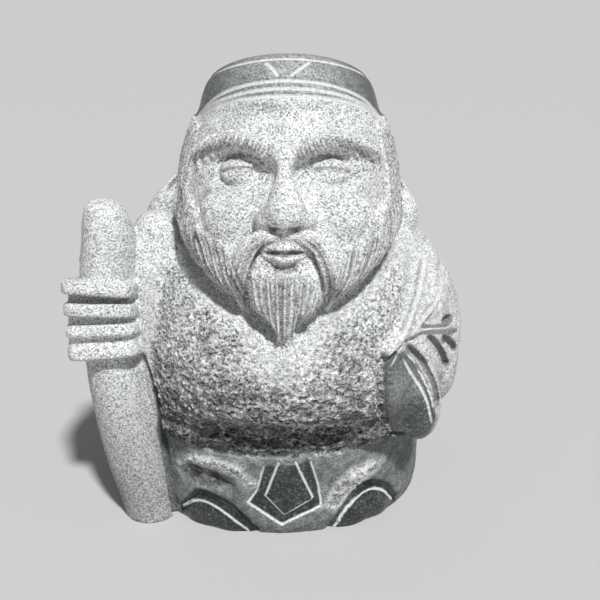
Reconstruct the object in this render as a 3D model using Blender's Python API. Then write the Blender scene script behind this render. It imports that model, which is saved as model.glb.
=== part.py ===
"""A small figure of an old bearded sage with a cap and a staff, carved in the round from one stone.

The figure is drawn in units, of which it is UNITS_HIGH tall, so every place and size here is a share of its
height. X runs to the viewer's right, the front looks along -Y and Z is up. The work goes as a carver's would:
the masses of the body are fused and softened, the head and beard are fused onto them, broad hollows are sunk,
the forms of the face, hair, hand and dress are laid on, and the chisel lines are cut last.
"""

import math
import random
from typing import NamedTuple

import bmesh
import bpy
import numpy as np
from mathutils import Matrix, Vector
from mathutils.bvhtree import BVHTree
from mathutils.kdtree import KDTree

HEIGHT = 0.180
UNITS_HIGH = 181.8
UNIT = HEIGHT / UNITS_HIGH

BODY_VOXEL = 1.6
CARVED_VOXEL = 0.8
FINEST = 1.9
TRIANGLES = 9900
FINE = 0.5
FINE_COST = 0.3
RING_POINTS = 48
PATH_STEPS = 4
GROUND_SNAP = 0.25

HEAD_X = 7.5
FACE_X = 6.5
AXIS = (7.5, -4)
CAP_PLACE = Vector((7.5, -10.6, 154.5))
CAP_TILT = math.radians(22)
HAND = (-62, -44)
HAND_REACH = 20
HAND_SLOPE = 16
FINGERS = ((98.6, 104.2, -4), (90.4, 95.6, -1), (82.6, 87.4, 3), (73.8, 79.4, 5))

CHANCE = random.Random(7)


class Stroke(NamedTuple):
    """One cut of the chisel along points on the skin. A depth below zero raises the skin."""

    points: list
    depth: float
    reach: float
    rounded: bool = False
    tapered: bool = True


def clear_scene():
    for thing in list(bpy.data.objects):
        bpy.data.objects.remove(thing)


def smooth_rows(rows, steps):
    """The rows of numbers joined by a Catmull-Rom curve, with this many steps from one row to the next."""
    rows = [np.array(row, float) for row in rows]
    ends = [2 * rows[0] - rows[1], *rows, 2 * rows[-1] - rows[-2]]
    made = []
    for i in range(1, len(ends) - 2):
        before, here, there, after = ends[i - 1 : i + 3]
        for step in range(steps):
            t = step / steps
            rise = 2 * before - 5 * here + 4 * there - after
            turn = 3 * here - before - 3 * there + after
            made.append(0.5 * (2 * here + (there - before) * t + rise * t**2 + turn * t**3))
    return [*made, rows[-1]]


def power(number, exponent):
    return math.copysign(abs(number) ** exponent, number)


def oval(centre, half_width, front, back, square):
    """Points round an upright oval, whose front and back can be of different depths."""
    points = []
    for i in range(RING_POINTS):
        angle = math.tau * i / RING_POINTS
        across, along = math.cos(angle), math.sin(angle)
        depth = back if along > 0 else front
        spread = Vector((half_width * power(across, 2 / square), depth * power(along, 2 / square), 0))
        points.append(Vector(centre) + spread)
    return points


def add_shell(bm, rings):
    """One closed shell through the rings, which all have as many points."""
    loops = [[bm.verts.new(point) for point in ring] for ring in rings]
    count = len(loops[0])
    faces = []
    for low, high in zip(loops, loops[1:]):
        for i in range(count):
            j = (i + 1) % count
            faces.append(bm.faces.new((low[i], low[j], high[j], high[i])))
    faces.append(bm.faces.new(loops[0][::-1]))
    faces.append(bm.faces.new(loops[-1]))
    bmesh.ops.recalc_face_normals(bm, faces=faces)


def add_stack(bm, rows, place=Matrix(), square=2.0, steps=4):
    """A stacked form. Each row is (height, centre x, centre y, half width, front depth, back depth)."""
    rings = []
    for z, x, y, half_width, front, back in smooth_rows(rows, steps):
        ring = oval((x, y, z), half_width, front, back, square)
        rings.append([place @ point for point in ring])
    add_shell(bm, rings)


def add_ball(bm, centre, radii, turn=(0, 0, 0)):
    """An ellipsoid, turned by the three angles in degrees."""
    place = Matrix.Translation(centre)
    for axis, angle in zip("XYZ", turn):
        place = place @ Matrix.Rotation(math.radians(angle), 4, axis)
    size = Matrix.Diagonal((*radii, 1))
    bmesh.ops.create_uvsphere(bm, u_segments=40, v_segments=26, radius=1, matrix=place @ size)


def add_rod(bm, rows, steps=4, sides=24, square=2.0):
    """A rod along a path, with round ends and a round or squarish section.

    Each row is (x, y, z, half width, half thickness, out x, out y, out z). The thickness lies along out.
    """
    path = smooth_rows(rows, steps)
    points = [Vector(row[:3]) for row in path]
    last = len(path) - 1
    turns = [math.tau * k / sides for k in range(sides)]
    section = [(power(math.cos(turn), 2 / square), power(math.sin(turn), 2 / square)) for turn in turns]
    rings = []
    for i, row in enumerate(path):
        ahead = (points[min(i + 1, last)] - points[max(i - 1, 0)]).normalized()
        side = ahead.cross(Vector(row[5:8])).normalized()
        across, out = side * row[3], side.cross(ahead) * row[4]
        bulges = {0: (-80, -60, -35, 0), last: (0, 35, 60, 80)}.get(i, (0,))
        for bulge in bulges:
            shrink = math.cos(math.radians(bulge))
            centre = points[i] + ahead * min(row[3], row[4]) * math.sin(math.radians(bulge))
            rings.append([centre + shrink * (across * u + out * v) for u, v in section])
    add_shell(bm, rings)


def add_plain_rod(bm, rows, out=(0, -1, 0)):
    add_rod(bm, [(*row, *out) for row in rows])


def fused(bm, voxel, softening):
    """The shells of bm fused into one skin, as a mesh, and softened by that many rounds."""
    mesh = bpy.data.meshes.new("clay")
    bm.to_mesh(mesh)
    bm.free()
    clay = bpy.data.objects.new("clay", mesh)
    bpy.context.scene.collection.objects.link(clay)
    remesh = clay.modifiers.new("fuse", "REMESH")
    remesh.mode = "VOXEL"
    remesh.voxel_size = voxel
    if softening:
        smooth = clay.modifiers.new("soften", "SMOOTH")
        smooth.factor = 0.5
        smooth.iterations = softening
    graph = bpy.context.evaluated_depsgraph_get()
    skin = bpy.data.meshes.new_from_object(clay.evaluated_get(graph))
    bpy.data.objects.remove(clay)
    bpy.data.meshes.remove(mesh)
    return skin


def read_vectors(items, name):
    """The named vectors of the items, one to a row."""
    numbers = np.empty(len(items) * 3)
    items.foreach_get(name, numbers)
    return numbers.reshape(-1, 3)


def keep_group(mesh, weights):
    """Stores the weights, one for each vertex, as the first vertex group."""
    bm = bmesh.new()
    bm.from_mesh(mesh)
    layer = bm.verts.layers.deform.verify()
    for vertex, weight in zip(bm.verts, weights):
        vertex[layer][0] = weight
    bm.to_mesh(mesh)
    bm.free()


class Surface:
    """The skin so far, for finding places on it."""

    def __init__(self, mesh):
        self.points = read_vectors(mesh.vertices, "co")
        faces = [tuple(face.vertices) for face in mesh.polygons]
        self.tree = BVHTree.FromPolygons([Vector(point) for point in self.points], faces)

    def cast(self, start, along):
        place, out, _, _ = self.tree.ray_cast(start, along)
        if place is None:
            beside = Vector((0.013, 0.017, 0.011))
            place, out, _, _ = self.tree.ray_cast(start + beside, along)
        return place, out

    def front(self, x, z):
        """The place and outward direction of the front surface at x and z."""
        return self.cast(Vector((x, -200, z)), Vector((0, 1, 0)))

    def round(self, turn, z):
        """The same on a level ray at turn degrees round the axis, from the front towards the right.

        The rays to the hair at the sides start inside the staff's place.
        """
        angle = math.radians(turn)
        away = Vector((math.sin(angle), -math.cos(angle), 0))
        distance = 57 if abs(turn) > 45 and z > 106 else 200
        return self.cast(Vector((*AXIS, z)) + away * distance, -away)

    def near(self, point):
        place, out, _, _ = self.tree.find_nearest(Vector(point))
        return place, out


def on_front(surface, rows, lift_along=None):
    """Rod rows from (x, z, lift, half width, half thickness), laid on the front surface."""
    laid = []
    for x, z, lift, wide, thick in rows:
        place, out = surface.front(x, z)
        out = Vector(lift_along) if lift_along else out
        laid.append((*(place + out * lift), wide, thick, *out))
    return laid


def on_round(surface, rows):
    """Rod rows from (turn, z, lift, half width, half thickness), laid on the surface round the axis."""
    laid = []
    for turn, z, lift, wide, thick in rows:
        place, out = surface.round(turn, z)
        laid.append((*(place + out * lift), wide, thick, *out))
    return laid


def carve(mesh, strokes):
    """Cuts the strokes into the skin, none finer than FINEST. The deepest wins where they cross."""
    points_now = read_vectors(mesh.vertices, "co")
    outward = read_vectors(mesh.vertex_normals, "vector")
    tree = KDTree(len(points_now))
    for i, point in enumerate(points_now):
        tree.insert(point, i)
    tree.balance()
    sunk = np.zeros(len(points_now))
    raised = np.zeros(len(points_now))
    for stroke in strokes:
        path = stroke.points
        reach = max(stroke.reach, FINEST)
        depth = abs(stroke.depth) * math.sqrt(reach / stroke.reach)
        length = sum((b - a).length for a, b in zip(path, path[1:]))
        done = 0.0
        felt = {}
        for a, b in zip(path, path[1:]):
            pieces = max(1, math.ceil((b - a).length / (reach / 3)))
            for k in range(pieces):
                here = a.lerp(b, k / pieces)
                share = (done + (here - a).length) / length
                strength = min(1, 6 * share, 6 * (1 - share)) if stroke.tapered else 1
                for _, i, distance in tree.find_range(here, reach):
                    near = 1 - distance / reach
                    push = strength * ((1 - (1 - near) ** 2) ** 2 if stroke.rounded else near)
                    if push > felt.get(i, 0):
                        felt[i] = push
            done += (b - a).length
        kind = sunk if stroke.depth > 0 else raised
        for i, push in felt.items():
            kind[i] = max(kind[i], depth * push)
    moved = points_now + outward * (raised - sunk)[:, None]
    mesh.vertices.foreach_set("co", moved.ravel())
    mesh.update()
    return sunk + raised


def body_masses(bm):
    """The skirt, the upper robe whose rough lower edge stands out over it, and both arms."""
    skirt = [
        (-6, 3, 7, 58, 51, 44),
        (0, 3, 7, 59, 52.5, 45),
        (6, 3, 7, 60, 53.5, 46),
        (20, 3, 7, 60, 54, 46.5),
        (34, 4, 6, 59, 55.5, 46),
        (42, 4.5, 5.5, 57, 54, 45),
        (50, 5, 5, 55, 47, 44),
    ]
    add_stack(bm, skirt)
    robe = [
        (37.5, 5, 4, 59.5, 51, 47),
        (40.3, 5.5, 4, 62.2, 55.5, 49),
        (46, 6.5, 4, 64.5, 62.5, 50.5),
        (55, 7.5, 4, 65.8, 67, 51.5),
        (64, 8, 4, 66.3, 68.8, 52),
        (73, 8, 4, 66.5, 67.6, 52),
        (82, 8, 4, 65.6, 65.2, 51.2),
        (90, 8, 4, 64, 63.6, 50),
        (102, 8, 4, 59, 57.2, 47),
        (111, 8, 4, 51, 47.8, 42),
        (117, 8, 4, 40, 37, 35),
        (122, 8, 4, 26, 23, 26),
    ]
    add_stack(bm, robe)
    for side in (-1, 1):
        lip = [
            (8 + side * 24, -49, 43.6, 4, 3.2),
            (8 + side * 35, -46.5, 43.2, 4, 3.4),
            (8 + side * 47, -37, 43, 4, 3.4),
        ]
        add_plain_rod(bm, lip)
    left_arm = [
        (44, 2, 106, 12, 12),
        (56, 0, 92, 15, 16),
        (62, -2, 76, 15.5, 18),
        (62.6, -3, 62, 15, 18),
        (62.5, -6, 52, 14, 16),
        (60, -8, 45, 11, 13),
    ]
    add_plain_rod(bm, left_arm)
    right_arm = [
        (-32, 0, 104, 12, 14),
        (-42, 2, 98, 13, 15),
        (-52, 4, 90, 12, 14),
        (-60, -4, 86, 10, 12),
    ]
    add_plain_rod(bm, right_arm)
    web = [
        (-43, -17, 114, 10, 12),
        (-45, -18, 100, 11.5, 15),
        (-44, -17, 84, 12, 16),
        (-44, -16, 50, 12, 17),
        (-41, -15, 20, 11, 16),
        (-38, -14, -4, 10, 15),
    ]
    add_plain_rod(bm, web)


def add_cap(bm):
    """The cap, tilted back on the head."""
    cap = [
        (-5, 0, 0, 30, 31.5, 31.5),
        (-1.2, 0, 0, 33, 34.6, 34.6),
        (0, 0, 0, 33.6, 35.2, 35.2),
        (7, 0, 0, 33, 34.6, 34.6),
        (13.5, 0, 0, 31, 32.6, 32.6),
        (17.3, 0, 0, 28, 29.5, 29.5),
        (19.9, 0, 0, 21, 23, 23),
        (21.2, 0, 0, 11, 12, 12),
    ]
    add_stack(bm, cap, place=cap_frame(), steps=8)


def cap_frame():
    return Matrix.Translation(CAP_PLACE) @ Matrix.Rotation(-CAP_TILT, 4, "X")


def head_masses(bm):
    """The head, and the beard down to its tip on the chest."""
    head = [
        (170, HEAD_X, -12, 22, 22, 22),
        (161, HEAD_X, -11, 33, 34, 33),
        (150, HEAD_X, -11, 37.5, 39.5, 39),
        (140, HEAD_X, -12, 39.8, 42.5, 41),
        (130, HEAD_X, -14, 41, 44, 41),
        (120, HEAD_X, -16, 41, 44.5, 37),
        (110, HEAD_X, -17, 33, 36, 30),
        (100, HEAD_X, -18, 22, 26, 22),
    ]
    add_stack(bm, head)
    beard = [
        (124, HEAD_X, -16, 40, 42.5, 20),
        (117, HEAD_X, -18, 37.2, 43.2, 20),
        (110, HEAD_X, -22, 32, 40.6, 20),
        (104.5, HEAD_X - 0.5, -27, 25, 36.2, 18),
        (100.5, HEAD_X - 1, -32, 18, 31.6, 14),
        (97, HEAD_X - 1.5, -38, 11.8, 25.8, 12),
        (93.5, HEAD_X - 2, -44, 6.6, 20, 8),
        (90, HEAD_X - 2, -50, 3, 13.4, 4),
    ]
    add_stack(bm, beard, square=2.7)
    add_cap(bm)


def ears(bm):
    """Long ears, whose heavy lobes hang out to the shoulders."""
    right = [
        (45, 0, 147, 3.2, 4),
        (46, 1, 142, 3.4, 5),
        (46.5, 1, 135, 3.6, 5),
        (50, 0, 127, 4.2, 5),
        (53, -2, 120, 5.2, 5.5),
        (52.5, -3, 114.5, 5.4, 5.5),
    ]
    add_plain_rod(bm, right)
    left = [
        (-30, 0, 147, 3.2, 4),
        (-31, 1, 142, 3.4, 5),
        (-32, 1, 135, 3.8, 5),
        (-37, 0, 128, 4.6, 5),
        (-42, -1, 121, 5.6, 5.5),
        (-44.5, -2, 115, 5.8, 5.5),
    ]
    add_plain_rod(bm, left)
    add_ball(bm, (44, 3, 119), (9, 14, 14))
    add_ball(bm, (-30, 3, 119), (10, 14, 14))


def staff_and_hand(bm):
    """The slightly bent staff, and the fingers of the right hand closed round it from outside."""
    staff = [
        (-48.4, -27, -6, 10.6, 11.4),
        (-50.6, -28, 10, 11.2, 11.8),
        (-54, -29, 28, 12.1, 12.2),
        (-57.8, -29, 50, 11.8, 11.8),
        (-60, -28.4, 70, 11.2, 11),
        (-60.5, -29, 80, 9.8, 9.8),
        (-60.5, -28.5, 98, 9.6, 9.6),
        (-60, -28, 108, 10.4, 10.4),
    ]
    add_plain_rod(bm, staff)
    top = [
        (98, -60, -28, 10.4, 14, 10.4),
        (106, -59.6, -28, 10.6, 14, 10.4),
        (116, -59, -27.5, 9.9, 12.8, 10.4),
        (122, -59.6, -27.3, 8.8, 11.4, 9.8),
        (126.6, -60.2, -27.2, 7.2, 9.4, 8.4),
        (129.2, -60.8, -27, 5.2, 6.6, 6),
        (129.8, -60.8, -27, 2.4, 2.6, 2.4),
    ]
    add_stack(bm, top)
    slope = Matrix.Rotation(math.radians(-HAND_SLOPE), 4, "X")
    palm = [(up, 0, HAND_REACH, 13.3, HAND_REACH - 4.6, 13) for up in (-14, 0, 13.5)]
    add_stack(bm, palm, place=Matrix.Translation((*HAND, 89)) @ slope, square=5)
    for low, high, rise in FINGERS:
        turned = Matrix.Rotation(math.radians(-rise), 4, "Y") @ slope
        tilt = Matrix.Translation((*HAND, (low + high) / 2)) @ turned
        half = (high - low) / 2
        finger = []
        for share, inset in ((-1, 1.6), (-0.9, 0.5), (-0.5, 0), (0, 0), (0.5, 0), (0.9, 0.5), (1, 1.6)):
            finger.append((half * share, 0, HAND_REACH, 14 - inset, HAND_REACH - inset, 14 - inset))
        add_stack(bm, finger, place=tilt, square=5)


def cuff_and_edge(bm):
    """The polished cuff hanging from the left arm, and the sleeve's edge running down beside the staff."""
    add_ball(bm, (55, -33, 56), (11, 14, 20), turn=(0, -10, 0))
    add_ball(bm, (-39, -14, 103), (14, 17, 12))
    sleeve_edge = [
        (-38, -14, 110, 7, 9),
        (-42, -23, 103, 7.5, 9),
        (-43.4, -28, 90, 7.5, 9),
        (-43, -29.5, 74, 6.5, 8),
        (-42, -28, 58, 5, 7),
    ]
    add_plain_rod(bm, sleeve_edge)


def face_masses(bm, surface):
    """The nose, cheeks and brow ridges, which are softened into the head."""
    nose = [
        (FACE_X, 151, 0.2, 4.4, 3),
        (FACE_X, 146, 1.2, 4.2, 3.6),
        (FACE_X, 139, 3, 5.2, 4.8),
        (FACE_X, 133, 4.6, 7, 5.6),
    ]
    add_rod(bm, on_front(surface, nose, lift_along=(0, -1, 0)))
    for side in (-1, 1):
        wing, _ = surface.front(FACE_X + side * 6.6, 131)
        add_ball(bm, wing + Vector((0, -1.8, 0)), (4, 4.8, 3.8))
        cheek, out = surface.front(FACE_X + side * 19, 129)
        add_ball(bm, cheek - out * 3, (14, 6, 12))
        ridge = [
            (FACE_X + side * 5, 151.5, -0.8, 3.4, 2.2),
            (FACE_X + side * 12, 154, -0.8, 4.4, 2.6),
            (FACE_X + side * 20, 154, -0.8, 4.4, 2.6),
            (FACE_X + side * 28, 150, -0.8, 3.4, 2.2),
        ]
        add_rod(bm, on_front(surface, ridge))


def rough_statue():
    """The masses fused, before any carving."""
    bm = bmesh.new()
    body_masses(bm)
    body = fused(bm, BODY_VOXEL, 6)
    bm = bmesh.new()
    head_masses(bm)
    head = fused(bm, CARVED_VOXEL, 1)
    bm = bmesh.new()
    face_masses(bm, Surface(head))
    bm.from_mesh(head)
    head = fused(bm, CARVED_VOXEL, 5)
    bm = bmesh.new()
    ears(bm)
    cuff_and_edge(bm)
    bm.from_mesh(body)
    bm.from_mesh(head)
    return fused(bm, CARVED_VOXEL, 2)


def met(casts):
    """The places of those rays that met the skin."""
    return [place for place, _ in casts if place]


def front_path(surface, points):
    """Places on the front surface along the curve through points, each (x, height)."""
    return met(surface.front(x, z) for x, z in smooth_rows(points, PATH_STEPS))


def face_path(surface, side, points):
    """Places on the front of the face, from (distance to one side of the nose, height)."""
    return front_path(surface, [(FACE_X + side * x, z) for x, z in points])


def round_path(surface, points):
    """Places on the surface round the axis, from (turn, height)."""
    return met(surface.round(turn, z) for turn, z in smooth_rows(points, PATH_STEPS))


def near_path(surface, points):
    return met(surface.near(point) for point in smooth_rows(points, PATH_STEPS))


def cap_path(surface, points):
    """Places on the cap, from (turn, height above the cap's rim, distance from its axis)."""
    path = []
    for turn, up, away in points:
        angle = math.radians(turn)
        path.append(cap_frame() @ Vector((away * math.sin(angle), -away * math.cos(angle), up)))
    return near_path(surface, path)


UNDER_BEARD_LEFT = [(-31, 118), (-28, 111.5), (-23.5, 107), (-17.5, 102.3), (-9.5, 98), (-3, 94.8), (2, 91)]
UNDER_BEARD_RIGHT = [(46.5, 117), (43, 111.5), (38.5, 107), (32, 102), (24.5, 98.2), (17, 94.6), (12, 91.4)]
UNDER_CHEST = [(-34, 45), (-22, 46), (-8, 47), (8, 47.2), (24, 46.4), (38, 45.4), (50, 45)]
CHEST_EDGE = [(-42, 40), (-36, 40.4), (-26, 40.6), (-14, 40.8), (8, 41), (30, 41), (43, 41), (52, 41)]
COLLAR_LEFT = [(-31.2, 116), (-27.2, 109.6), (-22, 105.4), (-13.4, 98.8), (-8.9, 96.4), (-4.4, 94), (3, 87.5)]
COLLAR_RIGHT = [(47.2, 114.2), (42.4, 109.8), (37.4, 105.6), (29.6, 99.8), (23, 96.7), (14.2, 91.6), (9, 87)]
CREASE = [(-48, 71), (-46.6, 67), (-45.3, 61), (-43.7, 49.3), (-42.4, 33.9), (-40.8, 14.9), (-39.1, -2)]
CUFF_EDGE = [(45, 79.8), (41.8, 75), (42, 69), (42.4, 63.3), (43.2, 54), (46, 45), (50, 41)]
CUFF_LINE = [(48.1, 79), (50.5, 73.8), (54.6, 66.4), (59.3, 57.5), (62.5, 44)]
CUFF_LINE_OUTER = [(49.6, 78.6), (56, 69.5), (60.5, 60.5), (63.5, 49)]
LEFT_HEM = [(-37, 3.5), (-30.1, 13), (-26.3, 14.3), (-20.6, 13.2), (-14.3, 9.8), (-5.4, 0)]
RIGHT_HEM = [(22, -2), (29.4, 8.6), (35.8, 16.3), (41.6, 15.5), (47.9, 10.4), (51.5, 2)]
PENDANT_FRAME = [(1, 36), (-4.3, 17), (5.1, 6.6), (18.2, 14), (12.8, 36)]
SHOULDER_FOLD = [
    (60, 108.5), (58.7, 105.9), (56.6, 101.4), (54.4, 96), (50.1, 87.7), (47.3, 83.7), (42.4, 80),
]
OUTER_FOLD = [(67.7, 97.3), (64.5, 93.5), (60.8, 90.5), (57.6, 88.2), (52.5, 85.5)]
ELBOW_FOLD = [(49.7, 84.2), (55, 85.1), (62.6, 82.4), (73.3, 75.6)]
PETALS = (
    [(49.8, 80.3), (56.2, 73), (60.7, 65.7), (63.4, 59.3), (65, 49)],
    [(59.5, 80), (63.9, 74.2), (68.4, 65.7), (71.4, 56)],
    [(66.9, 75), (71.8, 68.5), (75.6, 62.5)],
)


def hollows(surface):
    """The broad hollows: eye sockets, the chest round the beard, and the deep folds of the dress."""
    strokes = []
    for side in (-1, 1):
        socket = face_path(surface, side, [(8, 144.5), (14, 145.5), (21, 144)])
        strokes.append(Stroke(socket, 4, 9, rounded=True, tapered=False))
        beside_nose = face_path(surface, side, [(4.5, 147), (8, 140), (11, 134)])
        strokes.append(Stroke(beside_nose, 1.2, 6, rounded=True, tapered=False))
        below_cheek = face_path(surface, side, [(30, 133), (28, 124), (22.5, 116), (19, 110)])
        strokes.append(Stroke(below_cheek, 1.6, 4.5, rounded=True))
    for points in (COLLAR_LEFT, COLLAR_RIGHT):
        strokes.append(Stroke(front_path(surface, points), 4.4, 2.6))
    for points in (UNDER_BEARD_LEFT, UNDER_BEARD_RIGHT):
        strokes.append(Stroke(front_path(surface, points), 4, 4.8, rounded=True, tapered=False))
    strokes.append(Stroke(front_path(surface, UNDER_CHEST), 6, 12.5, rounded=True))
    strokes.append(Stroke(front_path(surface, CHEST_EDGE), 8, 2.6, rounded=True))
    for points in ([(-10, 108), (-7.5, 101), (-5, 95)], [(24, 108), (21.5, 101), (18.5, 95)]):
        strokes.append(Stroke(front_path(surface, points), 4.2, 3.4, rounded=True))
    strokes.append(Stroke(front_path(surface, CUFF_EDGE), 3.4, 3.4, rounded=True, tapered=False))
    between_folds = front_path(surface, [(63, 106), (61.5, 100), (58.5, 94.5), (55, 89)])
    strokes.append(Stroke(between_folds, 3, 4.2, rounded=True))
    before_fold = front_path(surface, [(55, 109), (52, 99), (47, 89.5), (42, 83)])
    strokes.append(Stroke(before_fold, 1.4, 4.5, rounded=True))
    beside_fold = front_path(surface, [(70, 103), (69, 97), (67, 92.5), (63, 88.5)])
    strokes.append(Stroke(beside_fold, 1.8, 3.4, rounded=True))
    for points in PETALS:
        strokes.append(Stroke(front_path(surface, points), 2.8, 3, rounded=True))
    dip = front_path(surface, [(-31, 23.5), (-24.5, 22.5), (-17, 20)])
    strokes.append(Stroke(dip, 1.9, 5.5, rounded=True, tapered=False))
    over_dip = front_path(surface, [(-35, 26), (-29, 29.5), (-20, 30.5), (-11, 28), (-7, 21)])
    strokes.append(Stroke(over_dip, -1.3, 4, rounded=True))
    right_swell = front_path(surface, [(24, 15), (31, 20), (38, 23), (44, 26)])
    strokes.append(Stroke(right_swell, -1.8, 6.5, rounded=True))
    for points in ([(-29, 1), (-22, 3.5), (-15, 1)], [(32, 1), (38, 5), (45, 2)]):
        strokes.append(Stroke(front_path(surface, points), -1.5, 8, rounded=True, tapered=False))
    under_pendant = front_path(surface, [(-14, 17), (-5, 8), (5, 2.8), (15, 7), (25, 16)])
    strokes.append(Stroke(under_pendant, -1.2, 4, rounded=True))
    for start, end in zip(PENDANT_FRAME, PENDANT_FRAME[1:]):
        strokes.append(Stroke(front_path(surface, [start, end]), 1.5, 2.3, rounded=True, tapered=False))
    return strokes


def add_lid(bm, centre, radii, rise, part):
    """The upper part, 1, or the lower, -1, of an ellipsoid cut by a plane, which rises to the front."""
    place = Matrix.Translation(centre) @ Matrix.Diagonal((*radii, 1))
    ball = bmesh.ops.create_uvsphere(bm, u_segments=40, v_segments=26, radius=1, matrix=place)
    edges = {edge for vertex in ball["verts"] for edge in vertex.link_edges}
    faces = {face for vertex in ball["verts"] for face in vertex.link_faces}
    angle = math.radians(rise)
    above = Vector((0, math.sin(angle), math.cos(angle))) * part
    everything = [*ball["verts"], *edges, *faces]
    cut = bmesh.ops.bisect_plane(bm, geom=everything, plane_co=centre, plane_no=above, clear_inner=True)
    rim = [item for item in cut["geom_cut"] if isinstance(item, bmesh.types.BMEdge)]
    bmesh.ops.contextual_create(bm, geom=rim)


def eye(bm, surface, side):
    """A calm, half lowered eye, on the canon's width of a fifth of the face."""
    socket, _ = surface.front(FACE_X + side * 14, 143.6)
    centre = socket + Vector((0, 2.2, 0))
    add_ball(bm, centre, (7.2, 4.6, 4.8))
    add_lid(bm, centre, (8.6, 5.8, 5.8), 33, 1)
    add_lid(bm, centre, (8.4, 5.5, 5.5), -10, -1)


def brow_height(x):
    """The middle of the brow at this distance to one side of the nose."""
    return np.interp(x, (5, 10, 18, 26, 31), (151.4, 154, 154.8, 151.6, 147))


def face_forms(bm, surface):
    """The eyes, closed mouth, bushy brows and long moustache."""
    for side in (-1, 1):
        eye(bm, surface, side)
        brow = [
            (FACE_X + side * 5, 151.4, 0.2, 2, 2),
            (FACE_X + side * 10, 154, 0.5, 2.8, 2.4),
            (FACE_X + side * 18, 154.8, 0.5, 3, 2.4),
            (FACE_X + side * 26, 151.6, 0.3, 2.6, 2.2),
            (FACE_X + side * 31, 147, 0, 1.8, 1.6),
        ]
        add_rod(bm, on_front(surface, brow))
        for i in range(7):
            x = 3.5 + 4 * i
            tip = x + 1.6 + 0.25 * i
            root = (FACE_X + side * x, brow_height(x) + 3, 0.2, 1.2, 1)
            middle = (FACE_X + side * (x + tip) / 2, brow_height(x) + 0.2, 1, 2.3, 1.6)
            end = (FACE_X + side * tip, brow_height(tip) - CHANCE.uniform(3, 4), 1, 0.9, 0.8)
            add_rod(bm, on_front(surface, [root, middle, end]), sides=12)
        moustache = [
            (FACE_X + side * 0.2, 126.8, 1.2, 1.9, 1.9),
            (FACE_X + side * 6.5, 125.6, 2, 2.8, 2.6),
            (FACE_X + side * 11.5, 121.5, 2.2, 3.2, 2.8),
            (FACE_X + side * 14.5, 114, 2, 3, 2.8),
            (FACE_X + side * 15.5, 105, 1.6, 2.4, 2.4),
            (FACE_X + side * 14.5, 97, 0.6, 1.4, 1.6),
        ]
        add_rod(bm, on_front(surface, moustache))
    upper_lip = [(-7, 120.6, 0.2, 1.2, 1.6), (-2.6, 122.2, 1, 1.7, 2), (0, 121.9, 0.9, 1.6, 1.9)]
    upper_lip += [(-x, z, lift, wide, thick) for x, z, lift, wide, thick in upper_lip[1::-1]]
    add_rod(bm, on_front(surface, [(FACE_X + x, *rest) for x, *rest in upper_lip]))
    lower_lip = [(-6.2, 119.2, 0.2, 1.2, 1.4), (0, 118, 1, 1.9, 2), (6.2, 119.2, 0.2, 1.2, 1.4)]
    add_rod(bm, on_front(surface, [(FACE_X + x, *rest) for x, *rest in lower_lip]))


def swept(starts, tips, count, wide):
    """Locks side by side from one curve of (turn, height) to another, each ending a little short or long.

    Each is a list of (turn, height, half width) from its root to its tip.
    """
    starts, tips = smooth_rows(starts, 12), smooth_rows(tips, 12)
    locks = []
    for i in range(count):
        share = (i + 0.5) / count
        start, tip = (curve[round(share * (len(curve) - 1))] for curve in (starts, tips))
        tip = start + (tip - start) * CHANCE.uniform(0.86, 1.1)
        lock = []
        for t, width in ((0, 0.5), (0.3, 0.95), (0.6, 1), (0.85, 0.7), (1, 0.2)):
            turn = start[0] + (tip[0] - start[0]) * t**1.35
            lock.append((turn, start[1] + (tip[1] - start[1]) * t, wide * width))
        locks.append(lock)
    return locks


def beard_locks():
    """The sets of locks: those of both whiskers and temples, and those of the beard below the lip."""
    sets = []
    for side in (-1, 1):
        starts = [(side * 66, 141), (side * 53, 136), (side * 40, 130), (side * 28, 124), (side * 16, 118)]
        tips = [(side * 60, 116), (side * 45, 110), (side * 31, 105.5), (side * 19, 101), (side * 11, 97)]
        sets.append(swept(starts, tips, 7, 3.2))
        starts = [(side * 86, 157), (side * 75, 158), (side * 64, 158), (side * 53, 157)]
        tips = [(side * 82, 133), (side * 71, 129), (side * 60, 125), (side * 49, 126)]
        sets.append(swept(starts, tips, 5, 2.6))
    chin = [(-13, 112), (-7, 113.6), (-1, 114), (5, 113.6), (11, 112)]
    point = [(-8.5, 96), (-5, 91.5), (-1.2, 88), (2.6, 91.5), (6, 96)]
    sets.append(swept(chin, point, 5, 2.4))
    return sets


def lock_forms(bm, surface, sets):
    for lock in sum(sets, []):
        rows = [(turn, z, 0.6, wide, 0.85 * wide) for turn, z, wide in lock]
        add_rod(bm, on_round(surface, rows), sides=12)


def lock_gaps(surface, sets):
    """The cuts between each lock and the next."""
    strokes = []
    for locks in sets:
        for lock, beside in zip(locks, locks[1:]):
            gap = [((a[0] + b[0]) / 2, (a[1] + b[1]) / 2) for a, b in zip(lock, beside)]
            strokes.append(Stroke(round_path(surface, gap), 1.5, 2))
    return strokes


def dress_forms(bm, surface):
    """The raised folds of the left sleeve."""
    for fold, wide in ((SHOULDER_FOLD, 1.8), (OUTER_FOLD, 1.5), (ELBOW_FOLD, 1.5)):
        add_rod(bm, on_front(surface, [(x, z, 0.9, wide, wide) for x, z in fold]))


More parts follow.
